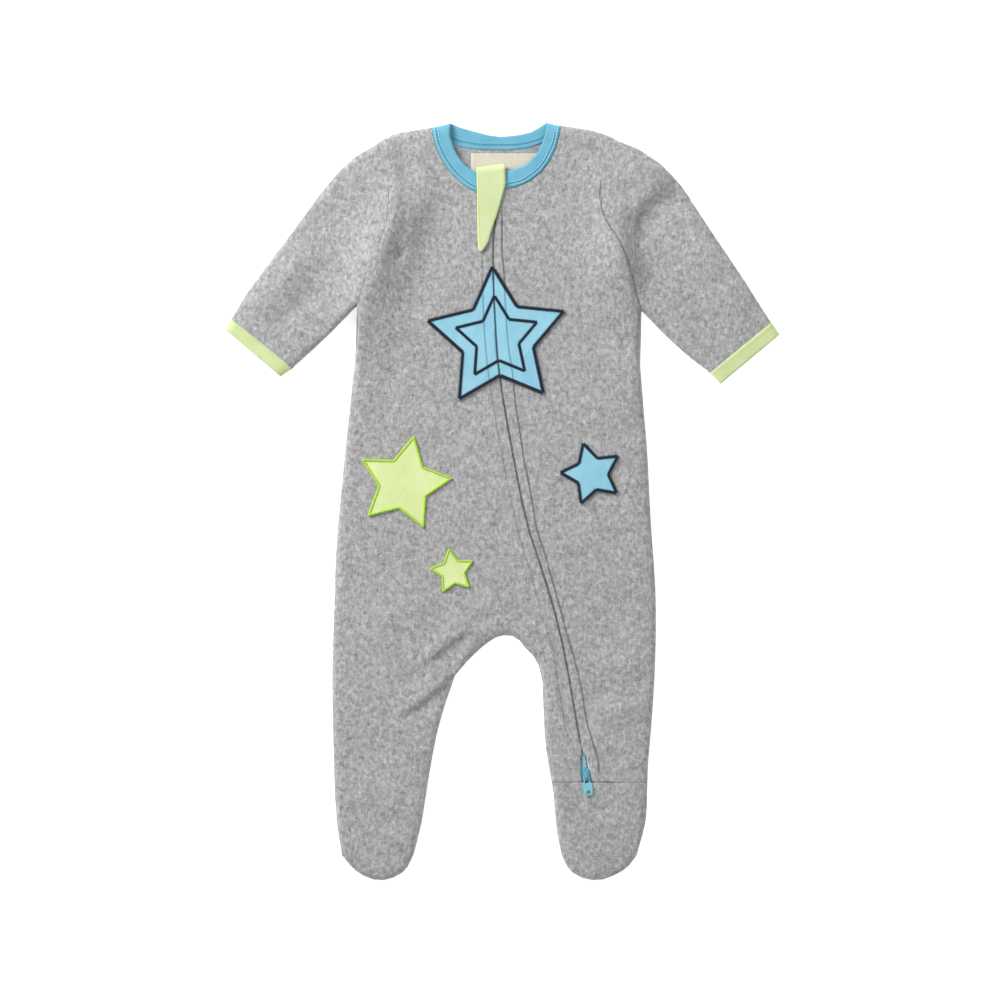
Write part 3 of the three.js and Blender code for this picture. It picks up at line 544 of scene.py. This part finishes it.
# Lines that show sunk in the cloth and darkened with painted shade, in millimetres: the zip's own, the
# topstitching beside it, and seams
closedZip = [(-3, 256), (-6, 222), (-6.5, 190.5), (-5.5, 158), (-3, 117.5), (0.5, 90.5), (3.5, 72.5),
             (8.5, 44), (17, 0.5), (23.5, -26.5), (31.5, -51), (44, -91.5), (53, -131), (60.5, -173.5)]
seamLines = {
    "zip": [*closedZip, (65.8, -204)],
    "zipRight": [(0.8, 241), (0.8, 205), (2.5, 187), (3.7, 158), (6.2, 125), (9.4, 105), (11.9, 78),
                 (15.2, 58), (18, 38), (21.3, 21), (25.4, 0), (29.5, -24), (36.5, -46), (43.9, -73),
                 (48.8, -90), (54.1, -110), (60.3, -131), (66.4, -157), (69.8, -180), (75.6, -200),
                 (79.6, -215), (79.8, -229)],
    "zipLeft": [(-13, 240), (-15, 200), (-14.4, 158), (-12.4, 125), (-9, 96), (-1.5, 52), (7.5, 4),
                (15, -28), (24, -58), (35.7, -100), (42.4, -123), (49.5, -165), (55.5, -200)],
    "foot": [(48, -230.8), (60, -230.7), (78, -230.8), (92, -231.4), (106, -232)],
    "armhole": [(84, 270), *leftArmhole, (114, 158)],
}


def sunkAndShadedLines(finish, seams):
    # How far the surface is drawn in and darkened with painted shade along its sewn lines, 0 to 1, from
    # the marks on the piece
    sunk = 0
    for seam, (strength, half) in seams.items():
        off = abs(finish.number(seam))
        sunk = (1 - off.fade(0.1, half)) * finish.number(seam + "Shown") * strength + sunk
    return sunk


def groovedAndShaded(finish, seams, colour, height, groove):
    # The colour and the height of a cloth, lower along its sewn lines and darker there with painted shade
    if not seams:
        return colour, height
    sunk = sunkAndShadedLines(finish, seams)
    # Painted shade: the colour goes darker along the sunk sewn lines
    dark = finish.blend(sunk * groove["shade"], colour, groove["colour"])
    return dark, height - sunk * groove["depth"]


fleece = {
    "grains": {
        "clumps": {"scale": 330, "detail": 3, "rough": 0.62, "bend": 0.4, "stretch": (1, 0.8, 1),
                   "turn": 0.3},
        "strands": {"scale": 430, "rough": 0.6, "bend": 0.6, "stretch": (1.5, 0.45, 1), "turn": -0.25},
        "crossing": {"scale": 400, "rough": 0.6, "bend": 0.6, "stretch": (0.5, 1.5, 1), "turn": 0.5},
        "specks": {"scale": 1300, "rough": 0.7},
        "broad": {"scale": 95, "detail": 3, "rough": 0.6},
    },
    "mottle": {"clumps": 0.40, "strands": 0.21, "crossing": 0.16, "specks": 0.16, "broad": 0.07},
    "pile": {"clumps": 0.5, "strands": 0.3, "specks": 0.35},
    "tones": [(0.36, tint(118, 118, 118)), (0.50, tint(166, 166, 166)), (0.64, tint(208, 208, 208))],
    # The groove's shade and colour are painted shade along the sunk seam lines
    "groove": {"shade": 0.45, "colour": tint(60, 60, 60), "depth": 1.3},
    "relief": 0.9,
}


def weighted(grains, shares):
    total = 0
    for name, share in shares.items():
        total = grains[name] * share + total
    return total


def heatherFleece(name, seams):
    # Brushed marled fleece: pale and dark fibres in clumps, and a soft pile
    finish = Finish(name, Sheen_Weight=0.18, Sheen_Roughness=0.6, Specular_IOR_Level=0.12)
    grains = {grain: finish.noise(**values) for grain, values in fleece["grains"].items()}
    colour = finish.ramp(weighted(grains, fleece["mottle"]), fleece["tones"])
    height = weighted(grains, fleece["pile"])
    colour, height = groovedAndShaded(finish, seams, colour, height, fleece["groove"])
    return finish.wear(
        Base_Color=colour,
        Roughness=0.86 + grains["specks"] * 0.12,
        Normal=finish.bump(height, fleece["relief"]),
    )


# Painted shade along the binding's sunk lines: how much, its dark blue, and the depth
bindingGrooveShade = {"shade": 0.5, "colour": tint(44, 122, 156), "depth": 2.5}


def jersey(name, colour, shade, seams, pitch=0.9, depth=0.22):
    # A fine knit: columns of small loops along the strand map
    finish = Finish(name, Sheen_Weight=0.1, Sheen_Roughness=0.5, Specular_IOR_Level=0.2)
    spot = finish.parts(finish.strand("strand"))
    turn = 2 * math.pi / (pitch * mm)
    columns = (spot["X"] * turn).sine()
    loops = (spot["Y"] * (turn * 0.8) + abs(columns) * 1.6).sine()
    wander = finish.noise(900, 3, 0.6)
    broad = finish.noise(60)
    knit = abs(columns) * 0.55 + loops * 0.2 + wander * 0.5
    share = (knit * 0.4 + broad * 0.6).fade(0.2, 0.9)
    colour = finish.blend(share, shade, colour)
    colour, knit = groovedAndShaded(finish, seams, colour, knit, bindingGrooveShade)
    return finish.wear(
        Base_Color=colour,
        Roughness=0.75 + wander * 0.2,
        Normal=finish.bump(knit, depth),
    )


# Painted shade along the motifs' sunk lines beside the zip: how much, its dark colour, and the depth
motifGrooveShade = {"shade": 0.6, "colour": tint(52, 96, 116), "depth": 0.8}


def softKnit(name, colour, shade, seams):
    # Light interlock for the sewn-on motifs, with small puckers. Its colour darkens with painted shade
    # where the puckers sink, and varies with the fine grain.
    finish = Finish(name, Sheen_Weight=0.08, Sheen_Roughness=0.5, Specular_IOR_Level=0.2)
    puckers = finish.noise(75, 3, 0.55, 0.5, stretch=(1, 0.6, 1), turn=0.6)
    grain = finish.noise(1500, 2, 0.6, stretch=(1, 1.4, 1))
    # Painted shade: the colour goes darker where the puckers are low
    share = (puckers * 0.7 + grain * 0.3).fade(0.25, 0.75)
    height = puckers * 0.5 + grain * 0.12
    colour = finish.blend(share, shade, colour)
    colour, height = groovedAndShaded(finish, seams, colour, height, motifGrooveShade)
    return finish.wear(
        Base_Color=colour,
        Roughness=0.78 + grain * 0.15,
        Normal=finish.bump(height, 1.2),
    )


def thread(name, colour, shade):
    finish = Finish(name, Specular_IOR_Level=0.35, Sheen_Weight=0.1)
    twist = finish.noise(2600, 2, 0.6)
    return finish.wear(
        Base_Color=finish.blend(twist.fade(0.3, 0.7), shade, colour),
        Roughness=0.5 + twist * 0.3,
        Normal=finish.bump(twist, 0.08),
    )


def twill(name, colour, shade):
    # Zip tape and ribbon: fine slanting ribs
    finish = Finish(name, Specular_IOR_Level=0.25)
    spot = finish.parts(finish.place())
    pitch, slant = 0.55 * mm, 0.8
    ribs = ((spot["X"] + spot["Y"] * slant) * (2 * math.pi / pitch)).sine()
    wander = finish.noise(1200, 2, 0.6)
    share = (ribs * 0.3 + wander).fade(0.2, 0.9)
    return finish.wear(
        Base_Color=finish.blend(share, shade, colour),
        Roughness=0.6 + wander * 0.25,
        Normal=finish.bump(ribs * 0.5 + wander, 0.12),
    )


def enamel(name, colour, shade):
    # Painted metal with faint orange peel and slightly rubbed paint
    finish = Finish(name, Coat_Roughness=0.12, Specular_IOR_Level=0.5)
    peel = finish.noise(900)
    rubbed = finish.noise(260, 3, 0.6)
    return finish.wear(
        Base_Color=finish.blend(rubbed.fade(0.35, 0.75), colour, shade),
        Roughness=0.28 + rubbed * 0.2,
        Coat_Weight=0.4 + peel * 0.2,
        Normal=finish.bump(peel, 0.05),
    )


def wear(piece, material):
    piece.data.materials.clear()
    piece.data.materials.append(material)
    return piece


print("cloth panels")
# Each panel's sewn lines have a strength, of their sinking and painted shade, and half a width in
# millimetres
panelStyle = {"longest": 2.1, "smoothing": 5, "crisp": True, "slot": "fleece_grey"}
panels = {
    "front_right_panel": {
        "piece": "frontRight",
        "seams": {"zip": (1.0, 1.3), "zipLeft": (0.35, 1.4), "foot": (0.5, 1.1)},
    },
    "front_left_panel": {
        "piece": "frontLeft",
        "seams": {"zip": (1.0, 1.3), "zipRight": (0.75, 1.1), "foot": (0.5, 1.1), "armhole": (0.6, 1.1)},
    },
    "left_foot_top": {"piece": "leftFoot", "seams": {"foot": (0.35, 1.1)}},
    "sleeve_right": {"piece": "sleeveRight", "longest": 2.3, "seams": {}},
    "sleeve_left": {"piece": "sleeveLeft", "longest": 2.3, "seams": {"armhole": (0.6, 1.1)}},
}
cloth = {}
for nodeName, own in panels.items():
    style = {**panelStyle, **own}
    piece = clothFrom(nodeName, style["piece"], style)
    closeSeams(piece)
    creaseFront(piece)
    for seam in style["seams"]:
        markLine(piece, seam, seamLines[seam])
    cloth[style["piece"]] = wear(piece, heatherFleece(style["piece"] + " fleece", style["seams"]))

backStyle = {**panelStyle, "longest": 4.4, "smoothing": 3}
cloth["back"] = clothFrom("back_panel", "back", backStyle)
creaseBack(cloth["back"])
wear(cloth["back"], heatherFleece("back fleece", {}))

print("bands")
neckLine = [(-57, 306.5), (-54.5, 293), (-49.5, 281), (-43, 271), (-34.5, 262), (-24, 254.5),
            (-9.5, 252), (-2.5, 253), (4.5, 256), (16, 258), (27, 264.5), (36, 273), (42, 283.5),
            (46.5, 294.5), (48.5, 308)]
backNeckLines = {
    "outer": [(-57, 306.5), (-50.5, 296.5), (-38, 291.5), (-21.5, 288.5), (-3.5, 288), (15, 288.5),
              (31.5, 292.5), (42, 298), (48.5, 308)],
    "sewn": [(-47, 300), (-36, 295.6), (-21, 292.6), (-3.5, 291.8), (15, 292.4), (30, 296), (40, 301.5)],
}
bandStyle = {"longest": 1.9, "smoothing": 3, "step": 3, "above": 0.4}
ribStyle = {"slot": "rib_lime", "wall": 1.8, "colour": tint(226, 240, 186), "shade": tint(206, 224, 158)}
bands = {
    "binding": {"node": "neck_binding", "slot": "binding_blue", "wall": 2.3, "line": neckLine,
                "colour": tint(131, 201, 225), "shade": tint(104, 178, 204)},
    "cuffRight": {"node": "cuff_right", "line": [(-222.5, 149.5), (-171.5, 108)], **ribStyle},
    "cuffLeft": {"node": "cuff_left", "line": [(171, 104.5), (222, 146.5)], **ribStyle},
}
frontGroove = {"offset": 3.3, "every": 3}
# Strength of the sinking and painted shade, and half a width in millimetres
bandGroove = (1.0, 0.9)
for name, own in bands.items():
    style = {**bandStyle, **own}
    piece = clothFrom(style["node"], name, style)
    line = smoothLine(style["line"], style["step"])
    seams = {}
    if name == "binding":
        mapAlong(piece, line, smoothLine(backNeckLines["outer"], style["step"]))
        seams = {"frontGroove": bandGroove, "backGroove": bandGroove}
    else:
        mapAlong(piece, line)
    creaseFront(piece, style["wall"], style["above"])
    if name == "binding":
        markLine(piece, "frontGroove", besideLine(line, frontGroove["offset"])[::frontGroove["every"]])
        markLine(piece, "backGroove", backNeckLines["sewn"], upper=False)
    cloth[name] = wear(piece, jersey(name + " knit", style["colour"], style["shade"], seams))

tabStyle = {"longest": 1.6, "smoothing": 2, "slot": "tab_lime"}
cloth["chinTab"] = clothFrom("chin_tab", "chinTab", tabStyle)
tabLine = np.array([(-10.0, 280.0), (-16.0, 200.0)])
mapAlong(cloth["chinTab"], tabLine)
tabKnit = jersey("chin tab knit", tint(228, 240, 190), tint(208, 226, 164), {}, pitch=0.8, depth=0.15)
wear(cloth["chinTab"], tabKnit)

labelStyle = {"longest": 2.0, "smoothing": 1, "slot": "label_cream"}
cloth["neckLabel"] = clothFrom("neck_label", "neckLabel", labelStyle)
wear(cloth["neckLabel"], twill("label ribbon", tint(238, 231, 214), tint(222, 213, 194)))

print("zip")
tapeStyle = {"longest": 3.0, "smoothing": 1, "slot": "zip_blue", "thick": 1, "above": -1.95}
tapeFinish = twill("zip tape", tint(204, 236, 244), tint(178, 220, 234))
for side in ("right", "left"):
    name = "zipTape" + side.title()
    piece = clothFrom("zip_tape_" + side, name, tapeStyle)
    creaseFront(piece, tapeStyle["thick"], tapeStyle["above"])
    cloth[name] = wear(piece, tapeFinish)

# The teeth stand out to both sides by a share of half the coil, and half of one's length is another
zipLine = [*closedZip, (67, -210.5), (70.1, -231)]
coil = {"pitch": 1.3, "half": 2.1, "thick": 1.22, "z": 4.3, "height": 1.5, "top": 249, "end": -220,
        "apart": 0.42, "long": 0.62}


def repeated(shape, places):
    # One bmesh with a copy of the shape at each place
    bm = bmesh.new()
    for place in places:
        copy = shape.copy()
        copy.transform(place)
        bm.from_mesh(copy)
        bpy.data.meshes.remove(copy)
    return bm


def placeAt(spot, along, up, size):
    # A matrix with X along, Z up, and the sizes on X, Y and Z
    z = Vector(up).normalized()
    x = Vector(along)
    x = (x - z * x.dot(z)).normalized()
    y = z.cross(x)
    turn = Matrix((x, y, z)).transposed().to_4x4()
    return Matrix.Translation(Vector(spot)) @ turn @ Matrix.Diagonal((*size, 1))


def beadShape(name):
    # A small smooth bead, one unit across each way from its middle
    bm = bmesh.new()
    bmesh.ops.create_icosphere(bm, subdivisions=1, radius=1)
    mesh = bpy.data.meshes.new(name)
    bm.to_mesh(mesh)
    bm.free()
    return mesh


bead = beadShape("bead")
teethLine = smoothLine(zipLine, coil["pitch"] / 2)
teeth = []
for k, (spot, ahead, lift) in enumerate(zip(teethLine, teethLine[1:], liftAt(teethLine))):
    if not coil["end"] < spot[1] < coil["top"]:
        continue
    side = 1 if k % 2 else -1
    along = Vector((*(ahead - spot), 0)).normalized()
    across = Vector((-along.y, along.x, 0)) * side
    middle = Vector((*spot, coil["z"] + lift)) + across * coil["half"] * coil["apart"]
    size = (coil["half"] * coil["long"] * mm, coil["thick"] / 2 * mm, coil["height"] / 2 * mm)
    teeth.append(placeAt(middle * mm, across, (0, 0, 1), size))
coilPiece = pieceFrom(repeated(bead, teeth), "zipTeeth", "zip_coil")
wear(coilPiece, enamel("zip teeth", tint(204, 238, 246), tint(176, 222, 236)))

# Slider and pull tab. Places are along and across the zip from the slider's middle, in millimetres.
# Each corner is found on both sides, moved and rounded. The hole grows about its own middle.
slider = {"x": 69.1, "y": -225, "ahead": (0.14639, -0.98923)}
metal = {
    "zip_slider": {
        "piece": "zipSlider",
        "body": "garment",
        "finish": enamel("slider enamel", tint(104, 180, 200), tint(72, 148, 170)),
        "corners": [
            {"at": (-5.5, 3.5), "to": (-5.5, 2.5), "round": 1.4},
            {"at": (5.5, 3.5), "to": (5.5, 3.5), "round": 1.4},
        ],
    },
    "zip_pull": {
        "piece": "zipPull",
        "body": "zip_pull",
        "finish": enamel("pull enamel", tint(134, 202, 220), tint(106, 178, 200)),
        "corners": [
            {"at": (4.9, 1.3), "to": (6.7, 1.7), "round": 0.5},
            {"at": (6.8, 4.0), "to": (7.4, 3.9), "round": 1.2},
            {"at": (15.7, 4.0), "to": (14.9, 3.9), "round": 1.3},
            {"at": (17.3, 2.4), "to": (17.3, 1.9), "round": 1.2},
        ],
        "hole": {"at": (14.2, 0), "within": 1.6, "growth": 1.3},
    },
}
metalEdges = {"flat": 2, "sharp": 35, "round": 0.22, "cornerFound": 0.08}
sliderTurn = Matrix.Rotation(math.atan2(slider["ahead"][1], slider["ahead"][0]), 4, "Z")
sliderFrame = Matrix.Translation((slider["x"] * mm, slider["y"] * mm, 0)) @ sliderTurn


def roundEdges(bm, edges, offset, segments):
    bmesh.ops.bevel(
        bm, geom=edges, offset=offset * mm, offset_type="OFFSET", affect="EDGES", segments=segments,
        profile=0.5, material=-1, clamp_overlap=True,
    )


def isAt(v, x, y):
    return math.hypot(v.co.x / mm - x, abs(v.co.y / mm) - y) < metalEdges["cornerFound"]


def shapeCorners(bm, corners):
    for corner in corners:
        edges = [e for e in bm.edges if all(isAt(v, *corner["at"]) for v in e.verts)]
        for v in {v for e in edges for v in e.verts}:
            v.co.x = corner["to"][0] * mm
            v.co.y = math.copysign(corner["to"][1], v.co.y) * mm
        roundEdges(bm, edges, corner["round"], 3)


def growHole(bm, hole):
    middle = Vector((*hole["at"], 0)) * mm
    for v in bm.verts:
        off = Vector((v.co.x - middle.x, v.co.y - middle.y, 0))
        if off.length < hole["within"] * mm:
            v.co += off * (hole["growth"] - 1)


for nodeName, style in metal.items():
    bm = bmesh.new()
    bm.from_mesh(nodes[nodeName].data)
    bmesh.ops.remove_doubles(bm, verts=bm.verts, dist=weld)
    flat = math.radians(metalEdges["flat"])
    bmesh.ops.dissolve_limit(bm, angle_limit=flat, verts=bm.verts, edges=bm.edges)
    bm.transform(sliderFrame.inverted())
    shapeCorners(bm, style["corners"])
    if "hole" in style:
        growHole(bm, style["hole"])
    bm.transform(sliderFrame)
    sharp = math.radians(metalEdges["sharp"])
    roundEdges(
        bm, [e for e in bm.edges if e.is_manifold and e.calc_face_angle() > sharp], metalEdges["round"], 2
    )
    wear(pieceFrom(bm, style["piece"], nodeName, style["body"]), style["finish"])

print("motifs")
motifStyle = {"longest": 2.4, "smoothing": 0, "thick": 1, "above": 1.35}
stars = {
    "starSkyRight": {"node": "star_sky_right", "slot": "motif_blue",
                     "seams": {"zip": (1.0, 1.2), "zipLeft": (0.5, 1.3)}},
    "starSkyLeft": {"node": "star_sky_left", "slot": "motif_blue",
                    "seams": {"zip": (1.0, 1.2), "zipRight": (0.5, 1.1)}},
    "starLime": {"node": "star_lime", "slot": "motif_lime"},
    "starSmallSky": {"node": "star_small_sky", "slot": "motif_blue"},
    "starSmallLime": {"node": "star_small_lime", "slot": "motif_lime"},
}
# Each motif's colour, and its painted shade for the puckers' hollows
starColours = {
    "motif_blue": (tint(157, 210, 228), tint(136, 194, 216)),
    "motif_lime": (tint(226, 238, 176), tint(210, 226, 154)),
}
for name, style in stars.items():
    piece = clothFrom(style["node"], name, {**motifStyle, **style})
    creaseFront(piece, motifStyle["thick"], motifStyle["above"])
    seams = style.get("seams", {})
    for seam in seams:
        markLine(piece, seam, seamLines[seam])
    cloth[name] = wear(piece, softKnit(name + " knit", *starColours[style["slot"]], seams))


print("sewing")


def surfaceTree(names):
    bm = bmesh.new()
    for name in names:
        bm.from_mesh(cloth[name].data)
    tree = BVHTree.FromBMesh(bm)
    bm.free()
    return tree


topSurface = surfaceTree(list(cloth))


# Height in millimetres from which things are set down, and the least that the cloth there faces up
dropFrom = 50
steepest = 0.3


def dropped(x, y):
    # Where a thing set down at x, y touches the cloth, and the way up there, if the cloth isn't too steep
    above = Vector((x * mm, y * mm, dropFrom * mm))
    spot, normal, _, _ = topSurface.ray_cast(above, Vector((0, 0, -1)))
    if spot is None or normal.z < steepest:
        return None, None
    return spot, normal


def sewn(name, places, style):
    piece = pieceFrom(repeated(bead, places), name, None)
    wear(piece, style["finish"])


def runStitch(name, line, style, lowest, highest):
    # Topstitching: beads end to end along a line, where the uncreased cloth's height is in the range
    places = []
    size = (style["length"] / 2 * mm, style["thick"] / 2 * mm, style["thick"] / 2 * mm)
    evenLine = smoothLine(line, style["pitch"])
    for a, b, lift in zip(evenLine, evenLine[1:], liftAt(evenLine)):
        spot, normal = dropped(*((a + b) / 2))
        if spot is not None and lowest < spot.z / mm - lift < highest:
            along = (*(b - a), 0)
            places.append(placeAt(spot + normal * style["rise"] * mm, along, normal, size))
    sewn(name, places, style)


def satinStitch(name, line, style):
    # Close-set slanting threads across a line, as on the edge of a sewn-on motif
    places = []
    size = (style["width"] / 2 * mm, style["thread"] / 2 * mm, style["height"] / 2 * mm)
    for a, b in zip(line, line[1:]):
        spot, normal = dropped(*((a + b) / 2))
        if spot is not None:
            way = Vector((*(b - a), 0)).normalized()
            across = Vector((-way.y, way.x, 0)) + way * style["slant"]
            places.append(placeAt(spot + normal * style["rise"] * mm, across, normal, size))
    sewn(name, places, style)


greyThread = thread("grey thread", tint(150, 150, 153), tint(122, 122, 126))
paleThread = thread("pale blue thread", tint(178, 228, 244), tint(150, 208, 230))
blueThread = thread("blue thread", tint(150, 214, 234), tint(112, 184, 210))
limeThread = thread("lime thread", tint(214, 232, 160), tint(190, 214, 130))
creamThread = thread("cream thread", tint(240, 234, 218), tint(214, 204, 184))
navyThread = thread("navy thread", tint(22, 42, 64), tint(10, 24, 44))
neonThread = thread("neon lime thread", tint(200, 240, 84), tint(168, 218, 50))

# Kinds of topstitching
seamStitch = {"pitch": 2.6, "length": 2.2, "thick": 0.5, "rise": 0.02}
neckStitch = {"pitch": 2.5, "length": 2.3, "thick": 0.8, "rise": 0.12, "slot": "binding_blue"}
kinds = {
    "zip": {**seamStitch, "slot": "fleece_grey", "finish": greyThread},
    "star": {**seamStitch, "slot": "motif_blue", "finish": blueThread},
    "neck": {**neckStitch, "finish": paleThread},
    "backNeck": {**neckStitch, "thick": 0.5, "finish": blueThread},
    "cuff": {"pitch": 2.4, "length": 2.0, "thick": 0.5, "rise": 0.05, "slot": "rib_lime",
             "finish": limeThread},
    "tab": {"pitch": 2.1, "length": 1.8, "thick": 0.45, "rise": 0.05, "slot": "tab_lime",
            "finish": limeThread},
    "label": {"pitch": 2.0, "length": 1.7, "thick": 0.45, "rise": 0.05, "slot": "label_cream",
              "finish": creamThread},
}
neckEdge = smoothLine(neckLine, 1)
# Each run has its kind, the lowest and the highest place where it is sewn, and its line
runs = {
    "zipStitch": ("zip", 4, 7.6, seamLines["zipRight"]),
    "zipStitchOnStar": ("star", 7.7, 9, seamLines["zipRight"]),
    "neckStitch0": ("neck", 5, 8.2, besideLine(neckEdge, 2.1)),
    "neckStitch1": ("neck", 5, 8.2, besideLine(neckEdge, 4.4)),
    "backNeckStitch": ("backNeck", -4, 5, backNeckLines["sewn"]),
    "cuffRightStitch": ("cuff", 0, 30, [(-221.4, 145.6), (-209, 135.6), (-186, 117), (-172.6, 106.2)]),
    "cuffLeftStitch": ("cuff", 0, 30, [(172.2, 102.6), (186, 114), (208, 131.6), (221.6, 142.8)]),
    "chinTabStitchRight": ("tab", 0, 30, [(-19.2, 272), (-18.8, 245), (-17.6, 215)]),
    "chinTabStitchLeft": ("tab", 0, 30, [(1.6, 272), (1.4, 257), (-1.6, 245), (-8, 226), (-13.8, 210)]),
    "labelTopStitch": ("label", -4, 4, [(-23.6, 283.4), (2, 283.8), (28.6, 283.4)]),
    "labelFieldStitch": ("label", -4, 4, [(7.8, 283), (7.8, 274), (7.8, 266)]),
}
for name, (kind, lowest, highest, line) in runs.items():
    runStitch(name, line, kinds[kind], lowest, highest)

starForm = {"points": 5, "inner": 0.52, "step": 0.5}


def starLine(x, y, radius, turn):
    # A five-pointed star's closed outline, as points about a step apart
    corners = []
    for k in range(2 * starForm["points"]):
        angle = math.radians(90 + turn + 180 / starForm["points"] * k)
        reach = radius if k % 2 == 0 else radius * starForm["inner"]
        corners.append(Vector((x + reach * math.cos(angle), y + reach * math.sin(angle))))
    points = []
    for a, b in zip(corners, corners[1:] + corners[:1]):
        count = max(2, round((b - a).length / starForm["step"]))
        points += [a.lerp(b, k / count) for k in range(count)]
    return np.array([*points, points[0]])


# Each outline's star has its middle, its radius and its turn in degrees
satin = {"thread": 0.62, "height": 0.9, "rise": 0.18, "slant": 0.18}
navyEdge = {**satin, "finish": navyThread, "slot": "motif_blue"}
neonEdge = {**satin, "finish": neonThread, "slot": "motif_lime"}
outlines = {
    "skyEdge": {**navyEdge, "star": (-3.5, 133, 58.6, 4), "width": 3.6},
    "skyInner": {**navyEdge, "star": (-3.5, 133, 35, 4), "width": 3.2},
    "smallSkyEdge": {**navyEdge, "star": (74, 22, 25.8, 16), "width": 3.4},
    "limeEdge": {**neonEdge, "star": (-80, 14, 38.6, -12), "width": 2.6},
    "smallLimeEdge": {**neonEdge, "star": (-40, -58, 18, 10), "width": 2.4},
}
for name, style in outlines.items():
    satinStitch(name, starLine(*style["star"]), style)

print("studio")
# The table's half width and depth below the cloth in metres, its glow and its two whites
table = {"half": 4, "below": 0.0003, "glow": 0.58, "dim": (0.96,) * 3, "bright": (0.98,) * 3}


def makeFloor():
    bm = bmesh.new()
    down = Matrix.Translation((0, 0, -table["below"]))
    bmesh.ops.create_grid(bm, x_segments=1, y_segments=1, size=table["half"], matrix=down)
    mesh = bpy.data.meshes.new("table")
    bm.to_mesh(mesh)
    bm.free()
    floor = bpy.data.objects.new("table", mesh)
    bpy.context.scene.collection.objects.link(floor)
    paper = Finish(
        "white paper", Specular_IOR_Level=0.1, Emission_Color=(1, 1, 1, 1), Emission_Strength=table["glow"]
    )
    white = paper.blend(paper.noise(40), table["dim"], table["bright"])
    wear(floor, paper.wear(Base_Color=white, Roughness=0.9))


def addLight(name, spot, size, power):
    lamp = bpy.data.lights.new(name, "AREA")
    lamp.shape = "DISK"
    lamp.size = size
    lamp.energy = power
    holder = bpy.data.objects.new(name, lamp)
    holder.location = spot
    holder.rotation_mode = "QUATERNION"
    holder.rotation_quaternion = (-Vector(spot)).to_track_quat("-Z", "Y")
    bpy.context.scene.collection.objects.link(holder)


makeFloor()
# Places and sizes in metres, power in watts
lights = {
    "softbox": {"spot": (-1.6, 1.6, 1.35), "size": 1.5, "power": 77},
    "fill": {"spot": (1.2, -0.6, 2.0), "size": 1.6, "power": 9.6},
}
for name, lamp in lights.items():
    addLight(name, **lamp)
skyStrength = 0.40
sky = bpy.data.worlds.new("studio")
sky.use_nodes = True
backdrop = sky.node_tree.nodes["Background"].inputs
backdrop["Color"].default_value = (1, 1, 1, 1)
backdrop["Strength"].default_value = skyStrength
bpy.context.scene.world = sky
bpy.context.scene.view_settings.view_transform = "Standard"

# The view is so far across at the height of the cloth's top
viewpoint = {"x": -1.2, "y": 0.4, "height": 2000, "top": 6, "across": 820, "sensor": 36}
camera = bpy.data.cameras.new("camera")
camera.sensor_width = viewpoint["sensor"]
camera.lens = viewpoint["sensor"] * (viewpoint["height"] - viewpoint["top"]) / viewpoint["across"]
cameraHolder = bpy.data.objects.new("camera", camera)
cameraHolder.location = [viewpoint[k] * mm for k in ("x", "y", "height")]
bpy.context.scene.collection.objects.link(cameraHolder)
bpy.context.scene.camera = cameraHolder
